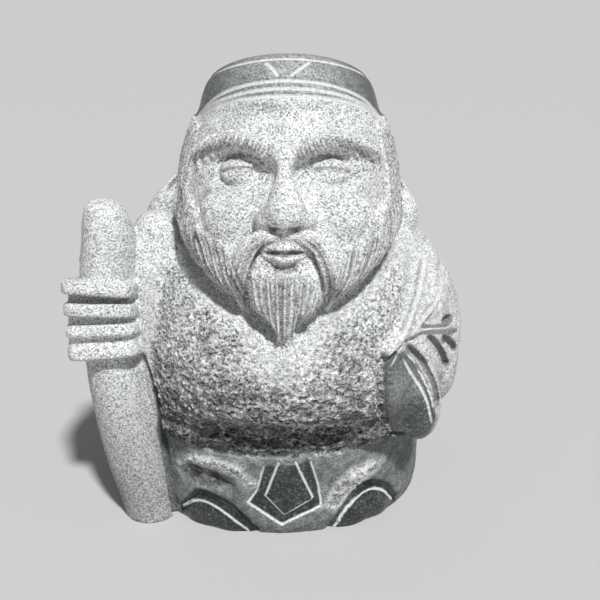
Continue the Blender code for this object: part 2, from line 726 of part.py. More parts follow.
def cap_lines(surface):
    """The incised lines of the cap: its crown's edge, its band, and a notched mark in front."""
    crown = [(turn, 15.4, 30.5) for turn in range(0, 361, 15)]
    band = [(0, 7.4), (30, 6.5), (50, 4.8), (68, 3), (90, 2.6), (135, 2.6), (180, 2.6)]
    band = [(turn, up, 35) for turn, up in [(-turn, up) for turn, up in band[:0:-1]] + band]
    hem = [(turn, 0.9 + 1.1 * math.cos(math.radians(turn)), 36) for turn in range(0, 361, 15)]
    over_hem = [(turn, up + 2.6 * math.cos(math.radians(turn / 2)) ** 8, away) for turn, up, away in hem]
    strokes = []
    for line, depth in ((crown, 0.9), (band, 0.9), (hem, 1), (over_hem, 0.5)):
        strokes.append(Stroke(cap_path(surface, line), depth, 1.25, tapered=False))
    left_mark = [(-1, -33.5, 180), (1.8, -36.3, 178.4), (4.6, -39.3, 175)]
    right_mark = [(7.3, -39.5, 175), (11.6, -37.2, 177.9), (15.7, -32.9, 180)]
    for mark in (left_mark, right_mark):
        strokes.append(Stroke(near_path(surface, mark), 1.3, FINEST))
    return strokes


def hair_lines(surface):
    """The cuts between the tufts of the brows, the strands of the moustache and of the hair behind."""
    strokes = []
    for side in (-1, 1):
        for i in range(6):
            x = 5 + 4.1 * i
            gap = [(x - 0.6, brow_height(x) + 3.2), (x + 0.4, brow_height(x)), (x + 1.8, brow_height(x) - 3)]
            strokes.append(Stroke(face_path(surface, side, gap), 1.2, FINEST))
        for shift in (-1.2, 1.3):
            strand = [(6, 125.6), (10.5 + shift, 122), (14 + shift, 114), (15 + shift, 105), (14.3, 98)]
            strokes.append(Stroke(face_path(surface, side, strand), 0.8, 1.4))
        for turn in range(104, 180, 12):
            strand = [(side * turn, 150), (side * turn, 138), (side * (turn + 1), 124)]
            strokes.append(Stroke(round_path(surface, strand), 1, 1.9))
    return strokes


def face_lines(surface):
    """The closed line of the mouth, the nostrils, and the hollow under the lip."""
    mouth = face_path(surface, 1, [(-8, 120.2), (-3, 120.4), (0, 120), (3, 120.4), (8, 120.2)])
    strokes = [Stroke(mouth, 1.2, 1.2)]
    under_lip = face_path(surface, 1, [(-5, 115.2), (0, 114.6), (5, 115.2)])
    strokes.append(Stroke(under_lip, 0.8, 2.4, rounded=True))
    for side in (-1, 1):
        over_lid = face_path(surface, side, [(6.4, 146.6), (10, 149.2), (14.5, 149.9), (22.6, 146)])
        strokes.append(Stroke(over_lid, 1.1, FINEST))
        nostril = face_path(surface, side, [(2.2, 128.8), (4.4, 128.6)])
        strokes.append(Stroke(nostril, 1.4, 1.8, tapered=False))
    return strokes


def dress_lines(surface):
    """The folds of the left sleeve and its cuff, the hems over the feet, and a few folds behind."""
    strokes = []
    over_elbow = [(55, 87.6), (60.6, 86.4), (69, 82.3), (74.5, 78)]
    strokes.append(Stroke(front_path(surface, over_elbow), 2.4, 1.8))
    strokes.append(Stroke(front_path(surface, CREASE), 2.2, 1.9, tapered=False))
    for points in PETALS:
        strokes.append(Stroke(front_path(surface, points), 1.6, 1.5))
    for points in (SHOULDER_FOLD, OUTER_FOLD, ELBOW_FOLD):
        strokes.append(Stroke(front_path(surface, points), -0.2, 2))
    for points in (CUFF_LINE, CUFF_LINE_OUTER):
        strokes.append(Stroke(front_path(surface, points), 0.6, 1))
    for points in (LEFT_HEM, RIGHT_HEM):
        strokes.append(Stroke(front_path(surface, points), 1.7, 2.1, tapered=False))
    collar = [(turn, 116 - 4 * math.sin(math.radians(turn - 90))) for turn in range(100, 261, 20)]
    strokes.append(Stroke(round_path(surface, collar), 1.4, 2.6))
    for top, low in ((112, 104), (138, 134), (165, 168), (192, 198), (220, 226)):
        fold = [(top, 103), ((top + low) / 2, 78), (low, 52)]
        strokes.append(Stroke(round_path(surface, fold), 1.6, 3.4, rounded=True))
    for turn in (110, 150, 185, 225):
        strokes.append(Stroke(round_path(surface, [(turn, 34), (turn + 2, 6)]), 1.2, 3, rounded=True))
    return strokes


def ear_lines(surface):
    right = [(51.5, -4, 143), (51.5, -4, 136), (54, -5, 129)]
    left = [(-36.5, -4, 143), (-37, -4, 136), (-41.5, -4, 128)]
    return [Stroke(near_path(surface, points), 1.2, 2.2) for points in (right, left)]


def carved_statue():
    skin = rough_statue()
    carve(skin, hollows(Surface(skin)))
    surface = Surface(skin)
    bm = bmesh.new()
    face_forms(bm, surface)
    locks = beard_locks()
    lock_forms(bm, surface, locks)
    dress_forms(bm, surface)
    staff_and_hand(bm)
    bm.from_mesh(skin)
    skin = fused(bm, CARVED_VOXEL, 1)
    surface = Surface(skin)
    lines = cap_lines(surface) + hair_lines(surface) + lock_gaps(surface, locks) + face_lines(surface)
    lines += dress_lines(surface) + ear_lines(surface)
    carved = carve(skin, lines)
    keep_group(skin, np.where((carved > 0.05) | in_face(skin), FINE, 1))
    return skin


def in_face(skin):
    """Which of the skin's points lie on the face or the front of the beard."""
    x, y, z = read_vectors(skin.vertices, "co").T
    return (abs(x - HEAD_X) < 42) & (y < -14) & (z > 82) & (z < 158) & (y < -150 + 1.08 * z)


def decimated(skin):
    """The skin with about as few triangles as TRIANGLES."""
    holder = bpy.data.objects.new("carving", skin)
    bpy.context.scene.collection.objects.link(holder)
    skin.calc_loop_triangles()
    holder.vertex_groups.new(name="plain")
    thin = holder.modifiers.new("thin", "DECIMATE")
    thin.ratio = TRIANGLES / len(skin.loop_triangles)
    thin.vertex_group = "plain"
    thin.vertex_group_factor = FINE_COST
    graph = bpy.context.evaluated_depsgraph_get()
    light = bpy.data.meshes.new_from_object(holder.evaluated_get(graph))
    bpy.data.objects.remove(holder)
    return light


def cut_flat(mesh):
    """The statue cut level at the ground, so that it stands on one flat face."""
    bm = bmesh.new()
    bm.from_mesh(mesh)
    for vertex in bm.verts:
        if abs(vertex.co.z) < GROUND_SNAP:
            vertex.co.z = 0
    everything = [*bm.verts, *bm.edges, *bm.faces]
    bmesh.ops.bisect_plane(bm, geom=everything, dist=0.0001, plane_no=(0, 0, 1), clear_inner=True)
    rim = [edge for edge in bm.edges if edge.is_boundary]
    bmesh.ops.contextual_create(bm, geom=rim)
    bmesh.ops.triangulate(bm, faces=bm.faces)
    bmesh.ops.recalc_face_normals(bm, faces=bm.faces)
    bm.to_mesh(mesh)
    bm.free()


def stone():
    material = bpy.data.materials.new("carved stone")
    material.use_nodes = True
    shader = material.node_tree.nodes["Principled BSDF"]
    shader.inputs["Base Color"].default_value = (0.36, 0.38, 0.38, 1)
    shader.inputs["Roughness"].default_value = 0.85
    return material


def main():
    clear_scene()
    skin = decimated(carved_statue())
    cut_flat(skin)
    points = read_vectors(skin.vertices, "co")
    middle = (points.max(axis=0) + points.min(axis=0)) / 2
    skin.transform(Matrix.Scale(UNIT, 4) @ Matrix.Translation((-middle[0], -middle[1], 0)))
    skin.name = "statue"
    skin.materials.append(stone())
    skin.shade_smooth()
    skin.set_sharp_from_angle(angle=math.radians(55))
    statue = bpy.data.objects.new("statue", skin)
    bpy.context.scene.collection.objects.link(statue)


if __name__ == "__main__":
    main()
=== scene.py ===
"""The looks of a small carved stone sage: the fine carving, the stone's finishes, and the light.

The figure is drawn in units, of which it is UNITS_HIGH tall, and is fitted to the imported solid's box at the
end. X runs to the viewer's right, the front looks along -Y and Z is up. The masses are fused and softened
first, then the forms of the face and dress are laid on, the chisel lines are cut, and the bare rock of the
robe is broken up.
"""

import math
import random
from itertools import pairwise
from typing import NamedTuple

import bmesh
import bpy
import numpy as np
from mathutils import Matrix, Vector, noise
from mathutils.bvhtree import BVHTree
from mathutils.kdtree import KDTree


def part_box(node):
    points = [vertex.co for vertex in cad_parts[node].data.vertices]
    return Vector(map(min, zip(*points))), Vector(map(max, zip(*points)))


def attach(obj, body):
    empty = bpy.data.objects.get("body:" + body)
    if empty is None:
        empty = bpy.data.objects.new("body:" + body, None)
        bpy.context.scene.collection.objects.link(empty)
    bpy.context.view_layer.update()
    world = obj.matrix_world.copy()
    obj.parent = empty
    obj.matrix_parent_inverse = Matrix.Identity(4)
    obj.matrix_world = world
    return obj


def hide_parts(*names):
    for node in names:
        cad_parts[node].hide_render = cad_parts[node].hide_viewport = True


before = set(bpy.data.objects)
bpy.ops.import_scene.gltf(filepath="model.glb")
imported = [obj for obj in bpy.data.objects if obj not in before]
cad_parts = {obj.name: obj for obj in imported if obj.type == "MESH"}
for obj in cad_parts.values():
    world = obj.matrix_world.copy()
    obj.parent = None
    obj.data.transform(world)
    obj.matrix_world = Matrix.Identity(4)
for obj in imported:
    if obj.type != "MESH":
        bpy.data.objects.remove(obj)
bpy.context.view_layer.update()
solid_low, solid_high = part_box("statue")

# The height in the figure's own units, and the middle of its box in x and y.
UNITS_HIGH = 181.8
UNIT = (solid_high.z - solid_low.z) / UNITS_HIGH
MIDDLE = (0.637, -5.388)
# The piece is made this much narrower than the solid, so that it stays inside the solid's box.
SNUG = 0.9996

# The grids on which the masses are fused, and the steps of ovals, paths, outlines, sweeps and balls.
BODY_VOXEL = 1.6
HEAD_VOXEL = 1.0
JOINED_VOXEL = 0.8
CARVED_VOXEL = 0.52
RING_POINTS = 64
PATH_STEPS = 4
OUTLINE_STEPS = 6
SWEEP_STEPS = 12
BALL = {"u_segments": 40, "v_segments": 26, "radius": 1}

# About how many triangles are left, and how much more of them the cut lines keep than the plain skin.
TRIANGLES = 194000
FINE = 0.5
FINE_COST = 0.02
# Points of the underside this near the ground are moved onto it.
GROUND_SNAP = 0.15

# The head, the face, the upright axis and the cap.
HEAD_X = 7.5
FACE_X = 6.5
AXIS = (7.5, -4)
CAP_PLACE = Vector((7.5, -10.6, 154.5))
CAP_TILT = math.radians(22)

# The right hand: its front end, its reach back, its slope in degrees, and its fingers as (low, high, rise).
HAND = (-62, -44)
HAND_REACH = 20
HAND_SLOPE = 16
FINGERS = ((98.6, 104.2, -4), (90.4, 95.6, -1), (82.6, 87.4, 3), (73.8, 79.4, 5))

# Rays start this far out, or inside the staff's place where they go to the hair at the sides.
FAR = 200
INSIDE_STAFF = 57
# A ray that slips between two faces is cast again a little to the side.
BESIDE = Vector((0.013, 0.017, 0.011))

# Cuts and bites this deep get the full painted shade that darkens them.
FULL_DEPTH = 1.2
# How far a strand strays from its even place, as a share of the gap between strands.
STRAY = 0.35
CHANCE = random.Random(7)


class Stroke(NamedTuple):
    """One cut of the chisel along points on the skin. A depth below zero raises the skin.

    A tapered stroke fades over a sixth of its length at both ends, and a light one leaves pale, unpolished
    stone at its bottom.
    """

    points: list
    depth: float
    reach: float
    rounded: bool = False
    tapered: bool = True
    light: float = 0


def smooth_rows(rows, steps):
    """The rows of numbers joined by a Catmull-Rom curve, with this many steps from one row to the next."""
    rows = [np.array(row, float) for row in rows]
    ends = [2 * rows[0] - rows[1], *rows, 2 * rows[-1] - rows[-2]]
    made = []
    for i in range(1, len(ends) - 2):
        before, here, there, after = ends[i - 1 : i + 3]
        for step in range(steps):
            t = step / steps
            rise = 2 * before - 5 * here + 4 * there - after
            turn = 3 * here - before - 3 * there + after
            made.append(0.5 * (2 * here + (there - before) * t + rise * t**2 + turn * t**3))
    return [*made, rows[-1]]


def power(number, exponent):
    """The power of the number without its sign, with that sign again."""
    return math.copysign(abs(number) ** exponent, number)


def oval(centre, half_width, front, back, square):
    """Points round an upright oval, whose front and back can be of different depths."""
    points = []
    for i in range(RING_POINTS):
        angle = math.tau * i / RING_POINTS
        across, along = math.cos(angle), math.sin(angle)
        depth = back if along > 0 else front
        spread = Vector((half_width * power(across, 2 / square), depth * power(along, 2 / square), 0))
        points.append(Vector(centre) + spread)
    return points


def add_shell(bm, rings):
    """One closed shell through the rings, which all have as many points."""
    loops = [[bm.verts.new(point) for point in ring] for ring in rings]
    count = len(loops[0])
    faces = []
    for low, high in zip(loops, loops[1:]):
        for i in range(count):
            j = (i + 1) % count
            faces.append(bm.faces.new((low[i], low[j], high[j], high[i])))
    faces.append(bm.faces.new(loops[0][::-1]))
    faces.append(bm.faces.new(loops[-1]))
    bmesh.ops.recalc_face_normals(bm, faces=faces)


def add_stack(bm, rows, place=Matrix(), square=2.0, steps=4):
    """A stacked form. Each row is (height, centre x, centre y, half width, front depth, back depth)."""
    rings = []
    for z, x, y, half_width, front, back in smooth_rows(rows, steps):
        ring = oval((x, y, z), half_width, front, back, square)
        rings.append([place @ point for point in ring])
    add_shell(bm, rings)


def add_ball(bm, centre, radii, turn=(0, 0, 0)):
    """An ellipsoid, turned by the three angles in degrees."""
    place = Matrix.Translation(centre)
    for axis, angle in zip("XYZ", turn):
        place = place @ Matrix.Rotation(math.radians(angle), 4, axis)
    size = Matrix.Diagonal((*radii, 1))
    bmesh.ops.create_uvsphere(bm, **BALL, matrix=place @ size)


def add_rod(bm, rows, sides=24):
    """A rod along a path, with round ends and an oval section.

    Each row is (x, y, z, half width, half thickness, out x, out y, out z). The thickness lies along out.
    """
    path = smooth_rows(rows, PATH_STEPS)
    points = [Vector(row[:3]) for row in path]
    last = len(path) - 1
    turns = [math.tau * k / sides for k in range(sides)]
    section = [(math.cos(turn), math.sin(turn)) for turn in turns]
    rings = []
    for i, row in enumerate(path):
        ahead = (points[min(i + 1, last)] - points[max(i - 1, 0)]).normalized()
        side = ahead.cross(Vector(row[5:8])).normalized()
        across, out = side * row[3], side.cross(ahead) * row[4]
        bulges = {0: (-80, -60, -35, 0), last: (0, 35, 60, 80)}.get(i, (0,))
        for bulge in bulges:
            shrink = math.cos(math.radians(bulge))
            centre = points[i] + ahead * min(row[3], row[4]) * math.sin(math.radians(bulge))
            rings.append([centre + shrink * (across * u + out * v) for u, v in section])
    add_shell(bm, rings)


def add_plain_rod(bm, rows):
    """A rod from rows of (x, y, z, half width, half thickness), whose thickness lies along Y."""
    add_rod(bm, [(*row, 0, -1, 0) for row in rows])


def linked(name, data):
    """A new object of the scene that shows the data."""
    thing = bpy.data.objects.new(name, data)
    bpy.context.scene.collection.objects.link(thing)
    return thing


def shaped(thing):
    """The thing's mesh with its modifiers applied. The thing itself is removed."""
    graph = bpy.context.evaluated_depsgraph_get()
    mesh = bpy.data.meshes.new_from_object(thing.evaluated_get(graph))
    bpy.data.objects.remove(thing)
    return mesh


def fused(bm, voxel, softening):
    """The shells of bm fused into one skin, as a mesh, and softened by that many rounds."""
    mesh = bpy.data.meshes.new("clay")
    bm.to_mesh(mesh)
    bm.free()
    clay = linked("clay", mesh)
    remesh = clay.modifiers.new("fuse", "REMESH")
    remesh.mode = "VOXEL"
    remesh.voxel_size = voxel
    smooth = clay.modifiers.new("soften", "SMOOTH")
    smooth.factor = 0.5
    smooth.iterations = softening
    skin = shaped(clay)
    bpy.data.meshes.remove(mesh)
    return skin


def read_vectors(items, name):
    """The named vectors of the items, one to a row."""
    numbers = np.empty(len(items) * 3)
    items.foreach_get(name, numbers)
    return numbers.reshape(-1, 3)


def keep_values(mesh, name, values):
    """Stores one number for each vertex under that name."""
    layer = mesh.attributes.get(name) or mesh.attributes.new(name, "FLOAT", "POINT")
    layer.data.foreach_set("value", np.asarray(values, np.float32))


def keep_group(mesh, weights):
    """Stores the weights, one for each vertex, as the first vertex group."""
    bm = bmesh.new()
    bm.from_mesh(mesh)
    layer = bm.verts.layers.deform.verify()
    for vertex, weight in zip(bm.verts, weights):
        vertex[layer][0] = weight
    bm.to_mesh(mesh)
    bm.free()


class Surface:
    """The skin so far, for finding places on it."""

    def __init__(self, mesh):
        self.points = read_vectors(mesh.vertices, "co")
        faces = [tuple(face.vertices) for face in mesh.polygons]
        self.tree = BVHTree.FromPolygons([Vector(point) for point in self.points], faces)

    def cast(self, start, along):
        place, out, _, _ = self.tree.ray_cast(start, along)
        if place is None:
            place, out, _, _ = self.tree.ray_cast(start + BESIDE, along)
        return place, out

    def front(self, x, z):
        """The place and outward direction of the front surface at x and z."""
        return self.cast(Vector((x, -FAR, z)), Vector((0, 1, 0)))

    def round(self, turn, z):
        """The same on a level ray at turn degrees round the axis, from the front towards the right."""
        angle = math.radians(turn)
        away = Vector((math.sin(angle), -math.cos(angle), 0))
        distance = INSIDE_STAFF if abs(turn) > 45 and z > 106 else FAR
        return self.cast(Vector((*AXIS, z)) + away * distance, -away)

    def near(self, *point):
        """The same at the point of the skin that is nearest."""
        place, out, _, _ = self.tree.find_nearest(Vector(point))
        return place, out


def laid(cast, rows, lift_along=None):
    """Rod rows from (two numbers for cast, lift, half width, half thickness), laid on the skin."""
    made = []
    for first, second, lift, wide, thick in rows:
        place, out = cast(first, second)
        out = Vector(lift_along) if lift_along else out
        made.append((*(place + out * lift), wide, thick, *out))
    return made


def skin_path(cast, points):
    """Places on the skin along the curve through points, each found by cast, without those it misses."""
    found = (cast(*point) for point in smooth_rows(points, PATH_STEPS))
    return [place for place, _ in found if place]


def carve(mesh, strokes):
    """Cuts the strokes into the skin. The deepest wins where they cross.

    Returns how far each point is sunk, and how pale it is left.
    """
    points = read_vectors(mesh.vertices, "co")
    outward = read_vectors(mesh.vertex_normals, "vector")
    tree = KDTree(len(points))
    for i, point in enumerate(points):
        tree.insert(point, i)
    tree.balance()
    sunk, raised, pale = np.zeros((3, len(points)))
    for stroke in strokes:
        spans = list(pairwise(stroke.points))
        length = sum((b - a).length for a, b in spans)
        done = 0.0
        felt = {}
        for a, b in spans:
            pieces = max(1, math.ceil((b - a).length / (stroke.reach / 3)))
            for k in range(pieces):
                here = a.lerp(b, k / pieces)
                share = (done + (here - a).length) / length
                strength = min(1, 6 * share, 6 * (1 - share)) if stroke.tapered else 1
                for _, i, distance in tree.find_range(here, stroke.reach):
                    near = 1 - distance / stroke.reach
                    push = strength * ((1 - (1 - near) ** 2) ** 2 if stroke.rounded else near)
                    if push > felt.get(i, 0):
                        felt[i] = push
            done += (b - a).length
        kind = sunk if stroke.depth > 0 else raised
        for i, push in felt.items():
            kind[i] = max(kind[i], abs(stroke.depth) * push)
            pale[i] = max(pale[i], stroke.light * push)
    points += outward * (raised - sunk)[:, None]
    mesh.vertices.foreach_set("co", points.ravel())
    mesh.update()
    return sunk, pale


def body_masses(bm):
    """The skirt, the upper robe whose rough lower edge stands out over it, and both arms."""
    skirt = [
        (-6, 3, 7, 58, 51, 44), (0, 3, 7, 59, 52.5, 45), (6, 3, 7, 60, 53.5, 46),
        (20, 3, 7, 60, 54, 46.5), (34, 4, 6, 59, 55.5, 46), (42, 4.5, 5.5, 57, 54, 45),
        (50, 5, 5, 55, 47, 44),
    ]
    add_stack(bm, skirt)
    robe = [
        (37.5, 5, 4, 59.5, 51, 47), (40.3, 5.5, 4, 62.2, 55.5, 49), (46, 6.5, 4, 64.5, 62.5, 50.5),
        (55, 7.5, 4, 65.8, 67, 51.5), (64, 8, 4, 66.3, 68.8, 52), (73, 8, 4, 66.5, 67.6, 52),
        (82, 8, 4, 65.6, 65.2, 51.2), (90, 8, 4, 64, 63.6, 50), (102, 8, 4, 59, 57.2, 47),
        (111, 8, 4, 51, 47.8, 42), (117, 8, 4, 40, 37, 35), (122, 8, 4, 26, 23, 26),
    ]
    add_stack(bm, robe)
    for side in (-1, 1):
        lip = [
            (8 + side * 24, -49, 43.6, 4, 3.2),
            (8 + side * 35, -46.5, 43.2, 4, 3.4),
            (8 + side * 47, -37, 43, 4, 3.4),
        ]
        add_plain_rod(bm, lip)
    left_arm = [
        (44, 2, 106, 12, 12), (56, 0, 92, 15, 16), (62, -2, 76, 15.5, 18), (62.6, -3, 62, 15, 18),
        (62.5, -6, 52, 14, 16), (60, -8, 45, 11, 13),
    ]
    right_arm = [
        (-32, 0, 104, 12, 14), (-42, 2, 98, 13, 15), (-52, 4, 90, 12, 14), (-60, -4, 86, 10, 12),
    ]
    web = [
        (-43, -17, 114, 10, 12), (-45, -18, 100, 11.5, 15), (-44, -17, 84, 12, 16),
        (-44, -16, 50, 12, 17), (-41, -15, 20, 11, 16), (-38, -14, -4, 10, 15),
    ]
    for limb in (left_arm, right_arm, web):
        add_plain_rod(bm, limb)


def add_cap(bm):
    """The cap, tilted back on the head."""
    cap = [
        (-5, 0, 0, 30, 31.5, 31.5), (-1.2, 0, 0, 33, 34.6, 34.6), (0, 0, 0, 33.6, 35.2, 35.2),
        (7, 0, 0, 33, 34.6, 34.6), (13.5, 0, 0, 31, 32.6, 32.6), (17.3, 0, 0, 28, 29.5, 29.5),
        (19.9, 0, 0, 21, 23, 23), (21.2, 0, 0, 11, 12, 12),
    ]
    add_stack(bm, cap, place=cap_frame(), steps=8)


def cap_frame():
    """From the cap's own place and tilt to the figure's."""
    return Matrix.Translation(CAP_PLACE) @ Matrix.Rotation(-CAP_TILT, 4, "X")


def head_masses(bm):
    """The head, and the beard down to its tip on the chest."""
    head = [
        (170, HEAD_X, -12, 22, 22, 22), (161, HEAD_X, -11, 33, 34, 33),
        (150, HEAD_X, -11, 37.5, 39.5, 39), (140, HEAD_X, -12, 39.8, 42.5, 41),
        (130, HEAD_X, -14, 41, 44, 41), (120, HEAD_X, -16, 41, 44.5, 37), (110, HEAD_X, -17, 33, 36, 30),
        (100, HEAD_X, -18, 22, 26, 22),
    ]
    add_stack(bm, head)
    beard = [
        (124, HEAD_X, -16, 40, 42.5, 20), (117, HEAD_X, -18, 37.2, 43.2, 20),
        (110, HEAD_X, -22, 32, 40.6, 20), (104.5, HEAD_X - 0.5, -27, 25, 36.2, 18),
        (100.5, HEAD_X - 1, -32, 18, 31.6, 14), (97, HEAD_X - 1.5, -38, 11.8, 25.8, 12),
        (93.5, HEAD_X - 2, -44, 6.6, 20, 8), (90, HEAD_X - 2, -50, 3, 13.4, 4),
    ]
    add_stack(bm, beard, square=2.7)
    add_cap(bm)


def ears(bm):
    """Long ears, whose heavy lobes hang out to the shoulders."""
    right = [
        (45, 0, 147, 3.2, 4), (46, 1, 142, 3.4, 5), (46.5, 1, 135, 3.6, 5), (50, 0, 127, 4.2, 5),
        (53, -2, 120, 5.2, 5.5), (52.5, -3, 114.5, 5.4, 5.5),
    ]
    left = [
        (-30, 0, 147, 3.2, 4), (-31, 1, 142, 3.4, 5), (-32, 1, 135, 3.8, 5), (-37, 0, 128, 4.6, 5),
        (-42, -1, 121, 5.6, 5.5), (-44.5, -2, 115, 5.8, 5.5),
    ]
    for ear in (right, left):
        add_plain_rod(bm, ear)
    add_ball(bm, (44, 3, 119), (9, 14, 14))
    add_ball(bm, (-30, 3, 119), (10, 14, 14))


def staff_and_hand(bm):
    """The slightly bent staff, and the fingers of the right hand closed round it from outside."""
    staff = [
        (-48.4, -27, -6, 10.6, 11.4), (-50.6, -28, 10, 11.2, 11.8), (-54, -29, 28, 12.1, 12.2),
        (-57.8, -29, 50, 11.8, 11.8), (-60, -28.4, 70, 11.2, 11), (-60.5, -29, 80, 9.8, 9.8),
        (-60.5, -28.5, 98, 9.6, 9.6), (-60, -28, 108, 10.4, 10.4),
    ]
    add_plain_rod(bm, staff)
    top = [
        (98, -60, -28, 10.4, 14, 10.4), (106, -59.6, -28, 10.6, 14, 10.4),
        (116, -59, -27.5, 9.9, 12.8, 10.4), (122, -59.6, -27.3, 8.8, 11.4, 9.8),
        (126.6, -60.2, -27.2, 7.2, 9.4, 8.4), (129.2, -60.8, -27, 5.2, 6.6, 6),
        (129.8, -60.8, -27, 2.4, 2.6, 2.4),
    ]
    add_stack(bm, top)
    slope = Matrix.Rotation(math.radians(-HAND_SLOPE), 4, "X")
    palm = [(up, 0, HAND_REACH, 13.3, HAND_REACH - 4.6, 13) for up in (-14, 0, 13.5)]
    add_stack(bm, palm, place=Matrix.Translation((*HAND, 89)) @ slope, square=5)
    for low, high, rise in FINGERS:
        turned = Matrix.Rotation(math.radians(-rise), 4, "Y") @ slope
        tilt = Matrix.Translation((*HAND, (low + high) / 2)) @ turned
        half = (high - low) / 2
        finger = []
        for share, inset in ((-1, 1.6), (-0.9, 0.5), (-0.5, 0), (0, 0), (0.5, 0), (0.9, 0.5), (1, 1.6)):
            finger.append((half * share, 0, HAND_REACH, 14 - inset, HAND_REACH - inset, 14 - inset))
        add_stack(bm, finger, place=tilt, square=5)


def cuff_and_edge(bm):
    """The polished cuff hanging from the left arm, and the sleeve's edge running down beside the staff."""
    add_ball(bm, (55, -33, 56), (11, 14, 20), turn=(0, -10, 0))
    add_ball(bm, (-39, -14, 103), (14, 17, 12))
    sleeve_edge = [
        (-38, -14, 110, 7, 9), (-42, -23, 103, 7.5, 9), (-43.4, -28, 90, 7.5, 9),
        (-43, -29.5, 74, 6.5, 8), (-42, -28, 58, 5, 7),
    ]
    add_plain_rod(bm, sleeve_edge)


def face_rows(rows, side=1):
    """The rows with their first number, a distance to one side of the nose, turned into a place in x."""
    return [(FACE_X + side * x, *rest) for x, *rest in rows]


def face_masses(bm, surface):
    """The nose, cheeks and brow ridges, which are softened into the head."""
    nose = [(0, 151, 0.2, 4.4, 3), (0, 146, 1.2, 4.2, 3.6), (0, 139, 3, 5.2, 4.8), (0, 133, 4.6, 7, 5.6)]
    add_rod(bm, laid(surface.front, face_rows(nose), lift_along=(0, -1, 0)))
    ridge = [(5, 151.5, -0.8, 3.4, 2.2), (12, 154, -0.8, 4.4, 2.6)]
    ridge += [(20, 154, -0.8, 4.4, 2.6), (28, 150, -0.8, 3.4, 2.2)]
    for side in (-1, 1):
        wing, _ = surface.front(FACE_X + side * 6.6, 131)
        add_ball(bm, wing + Vector((0, -1.8, 0)), (4, 4.8, 3.8))
        cheek, out = surface.front(FACE_X + side * 19, 129)
        add_ball(bm, cheek - out * 3, (14, 6, 12))
        add_rod(bm, laid(surface.front, face_rows(ridge, side)))


def rough_statue():
    """The masses fused, before any carving."""
    bm = bmesh.new()
    body_masses(bm)
    body = fused(bm, BODY_VOXEL, 6)
    bm = bmesh.new()
    head_masses(bm)
    head = fused(bm, HEAD_VOXEL, 1)
    bm = bmesh.new()
    face_masses(bm, Surface(head))
    bm.from_mesh(head)
    head = fused(bm, HEAD_VOXEL, 5)
    bm = bmesh.new()
    ears(bm)
    cuff_and_edge(bm)
    bm.from_mesh(body)
    bm.from_mesh(head)
    return fused(bm, JOINED_VOXEL, 3)


def face_path(surface, side, points):
    """Places on the front of the face, from (distance to one side of the nose, height)."""
    return skin_path(surface.front, face_rows(points, side))


def cap_path(surface, points):
    """Places on the cap, from (turn, height above the cap's rim, distance from its axis)."""
    path = []
    for turn, up, away in points:
        angle = math.radians(turn)
        path.append(cap_frame() @ Vector((away * math.sin(angle), -away * math.cos(angle), up)))
    return skin_path(surface.near, path)


def front_cuts(surface, depth, reach, *paths, **manner):
    """A stroke along each of the paths, which are lists of (x, height) on the front surface."""
    return [Stroke(skin_path(surface.front, path), depth, reach, **manner) for path in paths]


# Lines of the dress as (x, height) on the front surface: the chest round the beard first.
CHEST_LEFT = [
    (-34, 116), (-32.7, 114.3), (-28.8, 108), (-23.5, 103.9), (-14.6, 97.2), (-5.6, 92.6), (3.2, 84.5),
]
CHEST_RIGHT = [(50, 115), (48.7, 112.7), (43.9, 108.2), (38.8, 104), (30.8, 98.2), (24.3, 95.1), (8.8, 84.4)]
UNDER_BEARD_LEFT = [(-31, 118), (-28, 111.5), (-23.5, 107), (-17.5, 102.3), (-9.5, 98), (-3, 94.8), (2, 91)]
UNDER_BEARD_RIGHT = [(46.5, 117), (43, 111.5), (38.5, 107), (32, 102), (24.5, 98.2), (17, 94.6), (12, 91.4)]
COLLAR_LEFT = [(-31.2, 116), (-27.2, 109.6), (-22, 105.4), (-13.4, 98.8), (-8.9, 96.4), (-4.4, 94), (3, 87.5)]
COLLAR_RIGHT = [(47.2, 114.2), (42.4, 109.8), (37.4, 105.6), (29.6, 99.8), (23, 96.7), (14.2, 91.6), (9, 87)]
UNDER_CHEST = [(-34, 45), (-22, 46), (-8, 47), (8, 47.2), (24, 46.4), (38, 45.4), (50, 45)]
CHEST_EDGE = [(-42, 40), (-36, 40.4), (-26, 40.6), (-14, 40.8), (8, 41), (30, 41), (43, 41), (52, 41)]
CREASE = [(-48, 71), (-46.6, 67), (-45.3, 61), (-43.7, 49.3), (-42.4, 33.9), (-40.8, 14.9), (-39.1, -2)]
# The left sleeve and its cuff.
CUFF_EDGE = [(45, 79.8), (41.8, 75), (42, 69), (42.4, 63.3), (43.2, 54), (46, 45), (50, 41)]
CUFF_LINE = [(48.1, 79), (50.5, 73.8), (54.6, 66.4), (59.3, 57.5), (62.5, 44)]
CUFF_LINE_OUTER = [(49.6, 78.6), (56, 69.5), (60.5, 60.5), (63.5, 49)]
SHOULDER_FOLD = [
    (60, 108.5), (58.7, 105.9), (56.6, 101.4), (54.4, 96), (50.1, 87.7), (47.3, 83.7), (42.4, 80.4),
]
OUTER_FOLD = [(67.7, 97.3), (64.5, 93.5), (60.8, 90.5), (57.6, 88.2), (52.5, 85.5)]
ELBOW_FOLD = [(49.7, 84.2), (55, 85.1), (62.6, 82.4), (73.3, 75.6)]
PETALS = (
    [(49.8, 80.3), (56.2, 73), (60.7, 65.7), (63.4, 59.3), (65, 49)],
    [(59.5, 80), (63.9, 74.2), (68.4, 65.7), (71.4, 56)],
    [(66.9, 75), (71.8, 68.5), (75.6, 62.5)],
)
